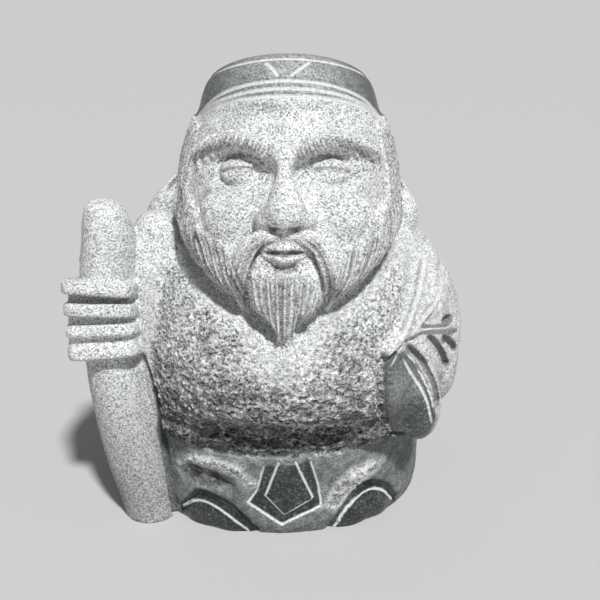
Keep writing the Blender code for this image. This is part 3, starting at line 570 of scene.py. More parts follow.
# The hems over the feet, the pendant, and patches on the skirt: bare stone on the ridge and the right swell,
# painted lighter as painted light, and the dip, painted darker as painted shade.
LEFT_HEM = [(-37, 3.5), (-30.1, 13), (-26.3, 14.3), (-20.6, 13.2), (-14.3, 9.8), (-5.4, 0)]
RIGHT_HEM = [(22, -2), (29.4, 8.6), (35.8, 16.3), (41.6, 15.5), (47.9, 10.4), (51.5, 2)]
LEFT_HEM_LINE = [
    (-36.8, 3.6), (-32.5, 8.2), (-27.8, 10.8), (-23.2, 10.4), (-19, 8.6), (-13.6, 5), (-8.6, 0.2),
]
RIGHT_HEM_LINE = [
    (25.4, 0.2), (29.5, 6.9), (33.2, 10.8), (36.5, 13.2), (40, 13.6), (43.4, 12), (46.4, 9), (50, 2.5),
]
PENDANT_FRAME = [(1, 36), (-4.3, 17), (5.1, 6.6), (18.2, 14), (12.8, 36)]
PENDANT_INNER = [(3.5, 33.4), (-1.9, 17.4), (5.4, 8.5), (16.7, 15.6), (9.9, 34)]
PENDANT_OUTER = [(-2, 31.6), (-4.9, 19.6), (-8.5, 14.4), (4.6, 4.8), (19.8, 12.4), (18.4, 22.8), (15.7, 33.4)]
DIP_PATCH = [(-37, 23.5), (-34.6, 19), (-27.8, 17.6), (-19.6, 18.6), (-14.5, 20.5), (-20, 25), (-31.5, 27.4)]
RIDGE_PATCH = [
    (-37, 25), (-31, 31), (-22, 33), (-12, 31), (-5, 24), (-8, 20), (-13, 25), (-21, 28), (-34, 23),
]
RIGHT_PATCH = [(21, 12), (25, 20), (31, 26.5), (38, 28), (45, 26), (43, 22), (36, 18.5), (30, 13), (26, 7)]


def hollows(surface):
    """The broad hollows: eye sockets, the chest round the beard, and the deep folds of the dress."""

    def hollow(depth, reach, *paths, tapered=True):
        return front_cuts(surface, depth, reach, *paths, rounded=True, tapered=tapered)

    strokes = []
    for side in (-1, 1):
        socket = face_path(surface, side, [(8, 144.5), (14, 145.5), (21, 144)])
        strokes.append(Stroke(socket, 4, 9, rounded=True, tapered=False))
        beside_nose = face_path(surface, side, [(4.5, 147), (8, 140), (11, 134)])
        strokes.append(Stroke(beside_nose, 1.2, 6, rounded=True, tapered=False))
        below_cheek = face_path(surface, side, [(30, 133), (28, 124), (22.5, 116), (19, 110)])
        strokes.append(Stroke(below_cheek, 1.6, 4.5, rounded=True))
    strokes += front_cuts(surface, 4.4, 2.6, COLLAR_LEFT, COLLAR_RIGHT)
    strokes += hollow(4, 4.8, UNDER_BEARD_LEFT, UNDER_BEARD_RIGHT, tapered=False)
    strokes += hollow(6, 12.5, UNDER_CHEST)
    strokes += hollow(8, 2.6, CHEST_EDGE)
    beside_beard = ([(-10, 108), (-7.5, 101), (-5, 95)], [(24, 108), (21.5, 101), (18.5, 95)])
    strokes += hollow(4.2, 3.4, *beside_beard)
    strokes += hollow(3.4, 3.4, CUFF_EDGE, tapered=False)
    between_folds = [(63, 106), (61.5, 100), (58.5, 94.5), (55, 89)]
    strokes += hollow(3, 4.2, between_folds)
    before_fold = [(55, 109), (52, 99), (47, 89.5), (42, 83)]
    strokes += hollow(1.4, 4.5, before_fold)
    beside_fold = [(70, 103), (69, 97), (67, 92.5), (63, 88.5)]
    strokes += hollow(1.8, 3.4, beside_fold)
    strokes += hollow(2.8, 3, *PETALS)
    dip = [(-31, 23.5), (-24.5, 22.5), (-17, 20)]
    strokes += hollow(1.9, 5.5, dip, tapered=False)
    over_dip = [(-35, 26), (-29, 29.5), (-20, 30.5), (-11, 28), (-7, 21)]
    strokes += hollow(-1.3, 4, over_dip)
    right_swell = [(24, 15), (31, 20), (38, 23), (44, 26)]
    strokes += hollow(-1.8, 6.5, right_swell)
    feet = ([(-29, 1), (-22, 3.5), (-15, 1)], [(32, 1), (38, 5), (45, 2)])
    strokes += hollow(-1.5, 8, *feet, tapered=False)
    under_pendant = [(-14, 17), (-5, 8), (5, 2.8), (15, 7), (25, 16)]
    strokes += hollow(-1.2, 4, under_pendant)
    return strokes + hollow(1.5, 2.3, *pairwise(PENDANT_FRAME), tapered=False)


def add_lid(bm, centre, radii, rise, part):
    """The upper part, 1, or the lower, -1, of an ellipsoid. The cut rises by so many degrees in front."""
    place = Matrix.Translation(centre) @ Matrix.Diagonal((*radii, 1))
    ball = bmesh.ops.create_uvsphere(bm, **BALL, matrix=place)
    edges = {edge for vertex in ball["verts"] for edge in vertex.link_edges}
    faces = {face for vertex in ball["verts"] for face in vertex.link_faces}
    angle = math.radians(rise)
    above = Vector((0, math.sin(angle), math.cos(angle))) * part
    everything = [*ball["verts"], *edges, *faces]
    cut = bmesh.ops.bisect_plane(bm, geom=everything, plane_co=centre, plane_no=above, clear_inner=True)
    rim = [item for item in cut["geom_cut"] if isinstance(item, bmesh.types.BMEdge)]
    bmesh.ops.contextual_create(bm, geom=rim)


def eye(bm, surface, side):
    """A calm, half lowered eye, on the canon's width of a fifth of the face."""
    socket, _ = surface.front(FACE_X + side * 14, 143.6)
    centre = socket + Vector((0, 2.2, 0))
    add_ball(bm, centre, (7.2, 4.6, 4.8))
    add_lid(bm, centre, (8.6, 5.8, 5.8), 33, 1)
    add_lid(bm, centre, (8.4, 5.5, 5.5), -10, -1)


def face_forms(bm, surface):
    """The eyes, closed mouth, bushy brows and long moustache."""
    brow = [(x, brow_height(x), lift, wide, thick) for x, lift, wide, thick in BROW]
    moustache = [
        (0.2, 126.8, 1.2, 1.9, 1.9), (6.5, 125.6, 2, 2.8, 2.6), (11.5, 121.5, 2.2, 3.2, 2.8),
        (14.5, 114, 2, 3, 2.8), (15.5, 105, 1.6, 2.4, 2.4), (14.5, 97, 0.6, 1.4, 1.6),
    ]
    for side in (-1, 1):
        eye(bm, surface, side)
        add_rod(bm, laid(surface.front, face_rows(brow, side)))
        for i in range(11):
            x = 3 + 2.6 * i
            tip = x + 1.6 + 0.25 * i
            tuft = [
                (x, brow_height(x) + 3, 0.2, 0.8, 0.8),
                ((x + tip) / 2, brow_height(x) + 0.2, 1, 1.5, 1.4),
                (tip, brow_height(tip) - CHANCE.uniform(3, 4), 1, 0.5, 0.5),
            ]
            add_rod(bm, laid(surface.front, face_rows(tuft, side)), sides=12)
        add_rod(bm, laid(surface.front, face_rows(moustache, side)))
    upper_lip = [(-7, 120.6, 0.2, 1.2, 1.6), (-2.6, 122.2, 1, 1.7, 2), (0, 121.9, 0.9, 1.6, 1.9)]
    upper_lip += [(-x, *rest) for x, *rest in upper_lip[1::-1]]
    lower_lip = [(-6.2, 119.2, 0.2, 1.2, 1.4), (0, 118, 1, 1.9, 2), (6.2, 119.2, 0.2, 1.2, 1.4)]
    for lip in (upper_lip, lower_lip):
        add_rod(bm, laid(surface.front, face_rows(lip)))


def swept(starts, tips, count, wide):
    """Locks side by side from one curve of (turn, height) to another, each ending a little short or long.

    Each is a list of (turn, height, half width) from its root to its tip.
    """
    starts, tips = smooth_rows(starts, SWEEP_STEPS), smooth_rows(tips, SWEEP_STEPS)
    locks = []
    for i in range(count):
        share = (i + 0.5) / count
        start, tip = (line[round(share * (len(line) - 1))] for line in (starts, tips))
        tip = start + (tip - start) * CHANCE.uniform(0.85, 1.2)
        lock = []
        for t, width in ((0, 0.5), (0.3, 0.95), (0.6, 1), (0.85, 0.7), (1, 0.2)):
            turn = start[0] + (tip[0] - start[0]) * t**1.35
            lock.append((turn, start[1] + (tip[1] - start[1]) * t, wide * width))
        locks.append(lock)
    return locks


def mirrored(points, side):
    """The points of (turn, height), kept to the right for 1 and put to the left for -1."""
    return [(side * turn, z) for turn, z in points]


def beard_locks():
    """The locks of both whiskers, and those of the beard below the lip."""
    whisker = [(66, 141), (53, 136), (40, 130), (28, 124), (16, 118)]
    whisker_tips = [(60, 116), (45, 110), (31, 105.5), (19, 101), (11, 97)]
    temple = [(86, 157), (75, 158), (64, 158), (53, 157)]
    temple_tips = [(82, 133), (71, 129), (60, 125), (49, 126)]
    locks = []
    for side in (-1, 1):
        locks += swept(mirrored(whisker, side), mirrored(whisker_tips, side), 13, 2.1)
        locks += swept(mirrored(temple, side), mirrored(temple_tips, side), 8, 1.8)
    chin = [(-13, 112), (-7, 113.6), (-1, 114), (5, 113.6), (11, 112)]
    point = [(-8.5, 96), (-5, 91.5), (-1.2, 88), (2.6, 91.5), (6, 96)]
    return locks + swept(chin, point, 9, 1.7)


def lock_forms(bm, surface, locks):
    """A thin rod along each lock."""
    for lock in locks:
        rows = [(turn, z, 0.5, wide, 0.85 * wide) for turn, z, wide in lock]
        add_rod(bm, laid(surface.round, rows), sides=12)


def lock_lines(surface, locks):
    """Two fine strands along each lock."""
    strokes = []
    for lock in locks:
        for aside in (-1, 1):
            shift = aside * CHANCE.uniform(0.7, 1.1)
            path = skin_path(surface.round, [(turn + shift, z) for turn, z, _ in lock])
            strokes.append(Stroke(path, CHANCE.uniform(0.7, 1.1), 0.85))
    return strokes


def dress_forms(bm, surface):
    """The raised folds of the left sleeve."""
    for fold, wide in ((SHOULDER_FOLD, 1.8), (OUTER_FOLD, 1.5), (ELBOW_FOLD, 1.5)):
        add_rod(bm, laid(surface.front, [(x, z, 0.9, wide, wide) for x, z in fold]))


def cap_rim(angle):
    """The height of the polished cap's lower edge, at this angle from the front."""
    return 0.9 + 1.1 * np.cos(angle)


def cap_lines(surface):
    """The incised lines of the cap: its crown's edge, its band, and a notched mark in front."""
    crown = [(turn, 15.4, 30.5) for turn in range(0, 361, 15)]
    band = [(0, 7.4), (30, 6.5), (50, 4.8), (68, 3), (90, 2.6), (135, 2.6), (180, 2.6)]
    band = [(turn, up, 35) for turn, up in mirrored(band[:0:-1], -1) + band]
    hem = [(turn, cap_rim(math.radians(turn)), 36) for turn in range(0, 361, 15)]
    over_hem = [(turn, up + 2.6 * math.cos(math.radians(turn / 2)) ** 8, away) for turn, up, away in hem]
    strokes = []
    for line, depth in ((crown, 0.9), (band, 0.9), (hem, 1), (over_hem, 0.5)):
        strokes.append(Stroke(cap_path(surface, line), depth, 1.25, tapered=False, light=1))
    left_mark = [(-1, -33.5, 180), (1.8, -36.3, 178.4), (4.6, -39.3, 175)]
    right_mark = [(7.3, -39.5, 175), (11.6, -37.2, 177.9), (15.7, -32.9, 180)]
    for mark in (left_mark, right_mark):
        strokes.append(Stroke(skin_path(surface.near, mark), 0.8, 1.2, light=1))
    return strokes


def combed(cast, first, last, count, depth, reach):
    """Strands side by side from the first path to the last, with ends and depths that differ a little.

    cast turns a path's points into places on the skin.
    """
    first, last = np.array(first, float), np.array(last, float)
    strokes = []
    for i in range(count):
        share = (i + CHANCE.uniform(-STRAY, STRAY) + 0.5) / count
        path = first + (last - first) * share
        path[0] += (path[1] - path[0]) * CHANCE.uniform(-0.08, 0.2)
        path[-1] += (path[-2] - path[-1]) * CHANCE.uniform(-0.2, 0.2)
        deep = depth * CHANCE.uniform(0.65, 1.15)
        strokes.append(Stroke(cast(path), deep, reach * CHANCE.uniform(0.85, 1.15)))
    return strokes


# The brow as (distance to one side of the nose, lift, half width, half thickness), and its height there.
BROW = ((5, 0.2, 2, 2), (10, 0.5, 2.8, 2.4), (18, 0.5, 3, 2.4), (26, 0.3, 2.6, 2.2), (31, 0, 1.8, 1.6))
BROW_HEIGHTS = (151.4, 154, 154.8, 151.6, 147)


def brow_height(x):
    """The middle of the brow at this distance to one side of the nose."""
    return np.interp(x, [row[0] for row in BROW], BROW_HEIGHTS)


def hair_lines(surface):
    """The strands of the brows and moustache, and of the hair behind."""
    strokes = []
    for side in (-1, 1):
        def on_face(points):
            return face_path(surface, side, points)

        def on_side(points):
            return skin_path(surface.round, mirrored(points, side))

        for i in range(22):
            x = 3.5 + 1.3 * i + CHANCE.uniform(-0.2, 0.2)
            tip = x + 1.6 + 0.12 * i
            root = (x, brow_height(x) + CHANCE.uniform(2.6, 4))
            hair = on_face([root, (tip, brow_height(tip) - CHANCE.uniform(2, 3))])
            strokes.append(Stroke(hair, 0.9, 0.8))
        inner = [(3, 124.8), (8, 121), (11.4, 113), (13, 104), (13.2, 97)]
        outer = [(4, 128.2), (11.5, 124.6), (16.4, 117), (17.6, 107), (15.8, 98)]
        strokes += combed(on_face, inner, outer, 4, 1.1, 0.9)
        first = [(98, 152), (98, 140), (99, 122)]
        last = [(180, 152), (180, 140), (180, 122)]
        strokes += combed(on_side, first, last, 28, 1, 1.1)
    return strokes


def face_lines(surface):
    """The closed line of the mouth, the hollow under the lip, the lines over the lids, and the nostrils."""
    mouth = face_path(surface, 1, [(-8, 120.2), (-3, 120.4), (0, 120), (3, 120.4), (8, 120.2)])
    strokes = [Stroke(mouth, 1.2, 1.2)]
    under_lip = face_path(surface, 1, [(-5, 115.2), (0, 114.6), (5, 115.2)])
    strokes.append(Stroke(under_lip, 0.8, 2.4, rounded=True))
    for side in (-1, 1):
        lid = [(6.4, 146.6), (10, 149.2), (14.5, 149.9), (19, 148.8), (22.6, 145.8)]
        over_lid = face_path(surface, side, lid)
        strokes.append(Stroke(over_lid, 0.8, 1.1))
        nostril = face_path(surface, side, [(2.2, 128.8), (4.4, 128.6)])
        strokes.append(Stroke(nostril, 1.4, 1.8, tapered=False))
    return strokes


def dress_lines(surface):
    """The folds of the left sleeve and its cuff, the hems over the feet, and a few folds behind."""
    over_elbow = [(55, 86.4), (60.6, 85), (69, 80.8), (74.5, 77)]
    strokes = front_cuts(surface, 2.4, 1.8, over_elbow)
    strokes += front_cuts(surface, 2.2, 1.9, CREASE, tapered=False)
    strokes += front_cuts(surface, 1.6, 1.5, *PETALS)
    # The fold crests are left pale: partly worn stone and partly a painted highlight on the lit ridges.
    strokes += front_cuts(surface, -0.2, 2.2, SHOULDER_FOLD, OUTER_FOLD, ELBOW_FOLD, light=0.75)
    strokes += front_cuts(surface, 0.6, 1, CUFF_LINE, CUFF_LINE_OUTER, light=1)
    strokes += front_cuts(surface, 1.7, 2.1, LEFT_HEM, RIGHT_HEM, tapered=False)
    strokes += front_cuts(surface, 0.4, 1, LEFT_HEM_LINE, RIGHT_HEM_LINE, tapered=False, light=1)
    for corners in (PENDANT_INNER, PENDANT_OUTER):
        strokes += front_cuts(surface, 0.5, 1, *pairwise(corners), tapered=False, light=1)
    collar = [(turn, 116 - 4 * math.sin(math.radians(turn - 90))) for turn in range(100, 261, 20)]
    strokes.append(Stroke(skin_path(surface.round, collar), 1.4, 2.6))
    for top, low in ((112, 104), (138, 134), (165, 168), (192, 198), (220, 226)):
        fold = [(top, 103), ((top + low) / 2, 78), (low, 52)]
        strokes.append(Stroke(skin_path(surface.round, fold), 1.6, 3.4, rounded=True))
    for turn in (110, 150, 185, 225):
        strokes.append(Stroke(skin_path(surface.round, [(turn, 34), (turn + 2, 6)]), 1.2, 3, rounded=True))
    return strokes


def ear_lines(surface):
    """The hollow of each ear."""
    right = [(51.5, -4, 143), (51.5, -4, 136), (54, -5, 129)]
    left = [(-36.5, -4, 143), (-37, -4, 136), (-41.5, -4, 128)]
    return [Stroke(skin_path(surface.near, points), 1.2, 2.2) for points in (right, left)]


def inside(points, outline, blur=0.8):
    """How far each of the points of (x, z) lies inside the closed outline, from 0 to 1 over the blur."""
    count = len(points)
    crossed = np.zeros(count, bool)
    nearest = np.full(count, np.inf)
    x, z = points[:, 0], points[:, 1]
    for (x0, z0), (x1, z1) in pairwise([*outline, outline[0]]):
        across = (z0 > z) != (z1 > z)
        rise = z1 - z0 if z1 != z0 else 1e-9
        crossed ^= across & (x < (x1 - x0) * (z - z0) / rise + x0)
        length = (x1 - x0) ** 2 + (z1 - z0) ** 2
        share = np.clip(((x - x0) * (x1 - x0) + (z - z0) * (z1 - z0)) / length, 0, 1)
        away = np.hypot(x - x0 - share * (x1 - x0), z - z0 - share * (z1 - z0))
        nearest = np.minimum(nearest, away)
    signed = np.where(crossed, nearest, -nearest)
    return np.clip(0.5 + signed / blur, 0, 1)


def step_up(values, low, high):
    """A smooth rise from 0 at low to 1 at high."""
    share = np.clip((values - low) / (high - low), 0, 1)
    return share * share * (3 - 2 * share)


def curve(points):
    """The smooth outline through the points."""
    return [tuple(row) for row in smooth_rows(points, OUTLINE_STEPS)]


def polish_and_sheen(points, flat, forward):
    """How polished each point is: the cap, the cuff, the hems and the pendant. There is less polish in the
    middle front of the cap and the upper middle of the cuff, which lightens them there as a painted sheen.
    """
    x, _, z = points.T
    local = (points - np.array(CAP_PLACE)) @ np.array(cap_frame().to_3x3())
    angle = np.arctan2(local[:, 0], -local[:, 1])
    cap = step_up(local[:, 2] - cap_rim(angle), -0.4, 0.3)
    # Less polish in the middle front of the cap lets the paler stone show: a painted sheen, the reflection of
    # the light on its polished top.
    polished = cap * (0.9 - 0.38 * np.exp(-((angle / 0.8) ** 2)))
    cuff = inside(flat, curve(CUFF_EDGE) + [(60, 38), *curve(CUFF_LINE_OUTER)[::-1]])
    # Less polish in the upper middle of the cuff lightens it there: a painted reflection.
    cuff *= 0.94 - 0.24 * np.exp(-((x - 50) ** 2 + (z - 66) ** 2) / 80)
    left_hem = inside(flat, curve(LEFT_HEM) + [(-6, -3), (-38, -3)])
    right_hem = inside(flat, curve(RIGHT_HEM) + [(52, -4), (22, -4)])
    for region in (cuff, left_hem, right_hem, inside(flat, PENDANT_OUTER)):
        polished = np.maximum(polished, region * forward)
    return polished


def bareness(points, flat, forward):
    """How bare the rock is at each point of the chest and, less so, of the left arm."""
    x, y, z = points.T
    chest = [*curve(CHEST_LEFT), *curve(CHEST_RIGHT)[::-1], (53, 96), (50.1, 87.7), (47.3, 83.7), (42.4, 80)]
    chest += [(42, 64), (43, 54), (46, 46), (54, 41), (54, 36)]
    chest += [(-41, 35), (-42.5, 46), (-44.5, 60), (-45, 80), (-44, 104)]
    rock = inside(flat, chest, blur=2) * forward
    rim = step_up(inside(flat, chest, blur=14), 0.5, 0.95)
    rock *= 1 - 0.6 * (1 - rim) * step_up(z, 76, 86)
    rock *= 0.35 + 0.65 * step_up(np.hypot(x - 6, z - 84), 4, 18)
    arm = step_up(x, 46, 52) * step_up(z, 46, 54) * step_up(110 - z, 0, 8)
    return np.maximum(rock, 0.4 * arm * step_up(-y, -12, 0))


def finishes(points):
    """How polished, bare and smooth each point of the skin is, and how much lighter or darker than the rest.
    The polish holds a painted sheen on the cap and cuff, the skirt's lighter patches are painted light and
    its dip is painted shade, and the smooth grey in the recesses beside the beard is partly painted shadow.
    """
    x, y, z = points.T
    flat = points[:, [0, 2]]
    forward = step_up(-y, 12, 20)
    rock = bareness(points, flat, forward)
    past_staff = step_up(x + 0.14 * z, -39.5, -37.5)
    past_staff = np.maximum(past_staff, step_up(y, -8, 0))
    # Below the robe's overhanging edge the stone is smooth grey, darker partly for its smoother finish and
    # partly as painted shade under the overhang.
    skirt = (1 - step_up(z, 38, 41)) * past_staff
    painted_light_and_shade = np.zeros(len(points))
    # The ridge and the right swell of the skirt are bare rock, and they are also painted lighter as painted
    # light where they stand up into the light.
    for patch in (RIDGE_PATCH, RIGHT_PATCH):
        lit_bare_patch = inside(flat, patch, blur=3) * forward
        painted_light_and_shade += lit_bare_patch
        skirt *= 1 - lit_bare_patch
        rock = np.maximum(rock, 0.5 * lit_bare_patch)
    # The dip is painted darker: painted shade in its hollow.
    dip = inside(flat, DIP_PATCH, blur=3) * forward
    painted_light_and_shade -= dip
    skirt *= 1 - 0.6 * dip
    rock = np.maximum(rock, 0.6 * dip)
    # The recesses between the collar and the beard get the darker smooth grey, partly a smoother finish and
    # partly painted shadow cast by the beard.
    for edge, under in ((COLLAR_LEFT, UNDER_BEARD_LEFT), (COLLAR_RIGHT, UNDER_BEARD_RIGHT)):
        shaded_recess = inside(flat, curve(edge) + curve(under)[::-1], blur=2) * forward
        skirt = np.maximum(skirt, 0.6 * shaded_recess)
    return {"polished": polish_and_sheen(points, flat, forward), "rock": rock, "skirt": skirt, "painted_light_and_shade": painted_light_and_shade}


def scoop(spot):
    """A bite of the point chisel: deepest at the middle of its cell, and of its own depth."""
    distances, middles = noise.voronoi(spot)
    depth = 0.6 + 0.8 * noise.noise(middles[0] * 5.3)
    return max(0, 1 - distances[0] / 0.85) * depth


def broken_rock(points, rock):
    """How deep the point chisel has bitten at each point of the bare rock, coarser towards its lower edge."""
    bitten = np.zeros(len(points))
    for i in np.nonzero(rock > 0.01)[0]:
        x, y, z = points[i]
        coarse = 1 - min(1, max(0, (z - 45) / 60))
        spot = Vector((x * 0.8, y, z * 1.4))
        spot += noise.noise_vector(spot * 0.4) * 1.2
        wide = abs(noise.noise(spot * 0.16 + Vector((3, 7, 1))))
        chips = scoop(spot * 0.5)
        pits = scoop(spot * 0.85 + Vector((9, 2, 5)))
        bitten[i] = rock[i] * (coarse * (1.5 * wide + 1.8 * chips) + (0.8 + 0.6 * coarse) * pits)
    return bitten


def pecked_skin(points, polished):
    """The shallow unevenness that pecking leaves on the rest of the stone."""
    worn = np.zeros(len(points))
    for i in np.nonzero(polished < 0.99)[0]:
        spot = Vector(points[i])
        worn[i] = (1 - polished[i]) * 0.35 * abs(noise.noise(spot * 0.3))
    return worn


def carved_statue():
    """The whole skin, carved, with how deep each point is cut and bitten and how pale it is left."""
    skin = rough_statue()
    carve(skin, hollows(Surface(skin)))
    surface = Surface(skin)
    locks = beard_locks()
    bm = bmesh.new()
    face_forms(bm, surface)
    lock_forms(bm, surface, locks)
    dress_forms(bm, surface)
    staff_and_hand(bm)
    bm.from_mesh(skin)
    skin = fused(bm, CARVED_VOXEL, 2)
    surface = Surface(skin)
    hair = hair_lines(surface) + lock_lines(surface, locks)
    lines = cap_lines(surface) + face_lines(surface) + dress_lines(surface) + ear_lines(surface)
    cut, pale = carve(skin, hair + lines)
    keep_group(skin, np.where((cut > 0.05) & (pale < 0.05), FINE, 1))
    points = read_vectors(skin.vertices, "co")
    outward = read_vectors(skin.vertex_normals, "vector")
    made = finishes(points)
    bitten = broken_rock(points, made["rock"])
    worn = pecked_skin(points, made["polished"])
    points -= outward * (bitten + worn)[:, None]
    skin.vertices.foreach_set("co", points.ravel())
    skin.update()
    keep_values(skin, "cut", np.clip(cut / FULL_DEPTH, 0, 1))
    keep_values(skin, "pale", pale)
    keep_values(skin, "bitten", np.clip(bitten / FULL_DEPTH, 0, 1))
    return skin


def decimated(skin):
    """The skin with about as few triangles as TRIANGLES."""
    holder = linked("carving", skin)
    skin.calc_loop_triangles()
    holder.vertex_groups.new(name="plain")
    thin = holder.modifiers.new("thin", "DECIMATE")
    thin.ratio = TRIANGLES / len(skin.loop_triangles)
    thin.vertex_group = "plain"
    thin.vertex_group_factor = FINE_COST
    return shaped(holder)


def cut_flat(mesh):
    """The statue cut level at the ground, so that it stands on one flat face."""
    bm = bmesh.new()
    bm.from_mesh(mesh)
    for vertex in bm.verts:
        if abs(vertex.co.z) < GROUND_SNAP:
            vertex.co.z = 0
    everything = [*bm.verts, *bm.edges, *bm.faces]
    bmesh.ops.bisect_plane(bm, geom=everything, dist=0.0001, plane_no=(0, 0, 1), clear_inner=True)
    rim = [edge for edge in bm.edges if edge.is_boundary]
    bmesh.ops.contextual_create(bm, geom=rim)
    bmesh.ops.triangulate(bm, faces=bm.faces)
    bmesh.ops.recalc_face_normals(bm, faces=bm.faces)
    bm.to_mesh(mesh)
    bm.free()


class Nodes:
    """Short ways to add shader nodes to one material."""

    def __init__(self, name):
        self.material = bpy.data.materials.new(name)
        self.material.use_nodes = True
        self.tree = self.material.node_tree
        self.shader = self.tree.nodes["Principled BSDF"]

    def feed(self, socket, value):
        if isinstance(value, bpy.types.NodeSocket):
            self.tree.links.new(value, socket)
        else:
            socket.default_value = value

    def add(self, kind, inputs=(), **settings):
        node = self.tree.nodes.new("ShaderNode" + kind)
        for name, value in settings.items():
            setattr(node, name, value)
        for key, value in dict(inputs).items():
            self.feed(node.inputs[key], value)
        return node

    def math(self, operation, a, b):
        return self.add("Math", {0: a, 1: b}, operation=operation).outputs[0]

    def product(self, *values):
        result = values[0]
        for value in values[1:]:
            result = self.math("MULTIPLY", result, value)
        return result

    def mixed(self, share, a, b, blend="MIX"):
        node = self.add("Mix", data_type="RGBA", blend_type=blend)
        for i, value in ((0, share), (6, a), (7, b)):
            self.feed(node.inputs[i], value)
        return node.outputs[2]

    def between(self, value, low, high, to_low=0.0, to_high=1.0):
        inputs = {0: value, 1: low, 2: high, 3: to_low, 4: to_high}
        return self.add("MapRange", inputs, interpolation_type="SMOOTHSTEP").outputs[0]

    def stored(self, name):
        return self.add("Attribute", attribute_name=name).outputs["Fac"]

    def ramp(self, value, stops):
        """The colours between the stops, each of which is (place, red, green, blue)."""
        node = self.add("ValToRGB", {0: value})
        elements = node.color_ramp.elements
        while len(elements) < len(stops):
            elements.new(1)
        for element, (place, *colour) in zip(elements, stops):
            element.position = place
            element.color = (*colour, 1)
        return node.outputs[0]


class StoneNodes(Nodes):
    """The same, with patterns laid out in millimetres."""

    def __init__(self, name):
        super().__init__(name)
        scaled = self.add("VectorMath", operation="SCALE")
        self.feed(scaled.inputs[0], self.add("TexCoord").outputs["Object"])
        self.feed(scaled.inputs["Scale"], 1000)
        self.place = scaled.outputs[0]

    def cells(self, scale):
        node = self.add("TexVoronoi", {"Vector": self.place, "Scale": scale, "Randomness": 1.0})
        return self.add("SeparateColor", {0: node.outputs["Color"]}).outputs[0]

    def speckle(self, scale, finer, share):
        """Cells of two scales, of which the coarser counts for the share."""
        coarse = self.math("MULTIPLY", self.cells(scale), share)
        return self.math("ADD", coarse, self.math("MULTIPLY", self.cells(finer), 1 - share))

    def clouds(self, scale, detail=2.0):
        inputs = {"Vector": self.place, "Scale": scale, "Detail": detail}
        return self.add("TexNoise", inputs).outputs["Fac"]


# The colours of the stone's finishes, as (place on the scale of the speckle, red, green, blue).
PECKED = [
    (0.15, 0.1, 0.107, 0.105),
    (0.33, 0.33, 0.342, 0.335),
    (0.5, 0.57, 0.583, 0.575),
    (0.8, 0.84, 0.85, 0.83),
]
BARE = [
    (0.15, 0.1, 0.106, 0.106),
    (0.33, 0.34, 0.353, 0.35),
    (0.56, 0.68, 0.693, 0.68),
    (0.8, 0.95, 0.96, 0.93),
]
# The smooth grey of the skirt is partly its own colour and partly painted shade under the robe's edge and
# beside the beard.
SMOOTH = [(0.15, 0.11, 0.126, 0.13), (0.5, 0.24, 0.262, 0.266), (0.9, 0.42, 0.442, 0.44)]
POLISHED = [
    (0.2, 0.018, 0.023, 0.022),
    (0.6, 0.045, 0.054, 0.051),
    (0.78, 0.1, 0.114, 0.109),
    (0.95, 0.26, 0.28, 0.26),
]
CHALK = [(0.2, 0.5, 0.52, 0.5), (0.6, 0.74, 0.75, 0.73)]


def stone():
    """Pale pecked stone, dark where it is polished, grey where it is smoothed, rough where it is bare.
    Painted shade darkens it in the cut lines, in the chisel's bites and towards the bottom, and painted light
    and shade lie on patches of the skirt.
    """
    n = StoneNodes("carved stone")
    names = ("polished", "rock", "skirt", "cut", "pale", "bitten", "painted_light_and_shade")
    polished, rock, skirt, cut, pale, bitten, painted_light_and_shade = (n.stored(name) for name in names)
    grain = n.speckle(2.3, 4.8, 0.6)
    colour = n.mixed(skirt, n.ramp(grain, PECKED), n.ramp(grain, SMOOTH))
    colour = n.mixed(rock, colour, n.ramp(n.speckle(1.05, 2.2, 0.55), BARE))
    # The polish mask also holds the painted sheen on the cap and cuff, where it is lowered and the paler
    # stone shows through.
    colour = n.mixed(polished, colour, n.ramp(n.speckle(1.4, 2.6, 0.6), POLISHED))
    height = n.add("SeparateXYZ", {0: n.place}).outputs["Z"]
    mottled = n.between(n.clouds(0.3, 3.0), 0.35, 0.65, -0.24, 0.24)
    # Partly painted light: painted shade in the chisel's bites, in the cut lines and lower down towards the
    # ground, and painted light and shade on the skirt's patches. The broad clouds and the skirt's mottling
    # are the stone's own uneven tone.
    shade = n.product(
        n.between(bitten, 0.15, 0.9, 1.1, 0.4),
        n.between(n.clouds(0.05), 0.3, 0.7, 0.9, 1.08),
        n.between(cut, 0.05, 0.8, 1.0, 0.4),
        n.between(height, 5, 85, 0.6, 1.0),
        n.between(painted_light_and_shade, -1, 1, 0.5, 1.5),
        n.math("ADD", 1.0, n.math("MULTIPLY", mottled, skirt)),
    )
    shade = n.add("CombineColor", {0: shade, 1: shade, 2: shade}).outputs[0]
    colour = n.mixed(1.0, colour, shade, blend="MULTIPLY")
    # Chalky pale stone at the bottom of the incised lines and on the sleeve's fold crests, where it is partly
    # a painted highlight.
    colour = n.mixed(n.between(pale, 0.25, 0.7), colour, n.ramp(grain, CHALK))
    n.feed(n.shader.inputs["Base Color"], colour)

    dull = n.math("SUBTRACT", 1.0, n.math("MULTIPLY", polished, n.between(pale, 0.2, 0.6, 1.0, 0.0)))
    n.feed(n.shader.inputs["Roughness"], n.between(dull, 0, 1, 0.3, 0.9))

    pits = n.math("ADD", n.clouds(1.5, 3.0), n.math("MULTIPLY", n.cells(1.7), 0.35))
    inputs = {"Height": pits, "Strength": n.between(dull, 0, 1, 0.03, 0.75), "Distance": 0.0004}
    pecks = n.add("Bump", inputs).outputs[0]
    chipped = n.math("ABSOLUTE", n.math("SUBTRACT", n.clouds(0.9, 3.0), 0.5), 0.0)
    inputs = {"Height": chipped, "Strength": rock, "Distance": 0.0022, "Normal": pecks}
    n.feed(n.shader.inputs["Normal"], n.add("Bump", inputs).outputs[0])
    return n.material


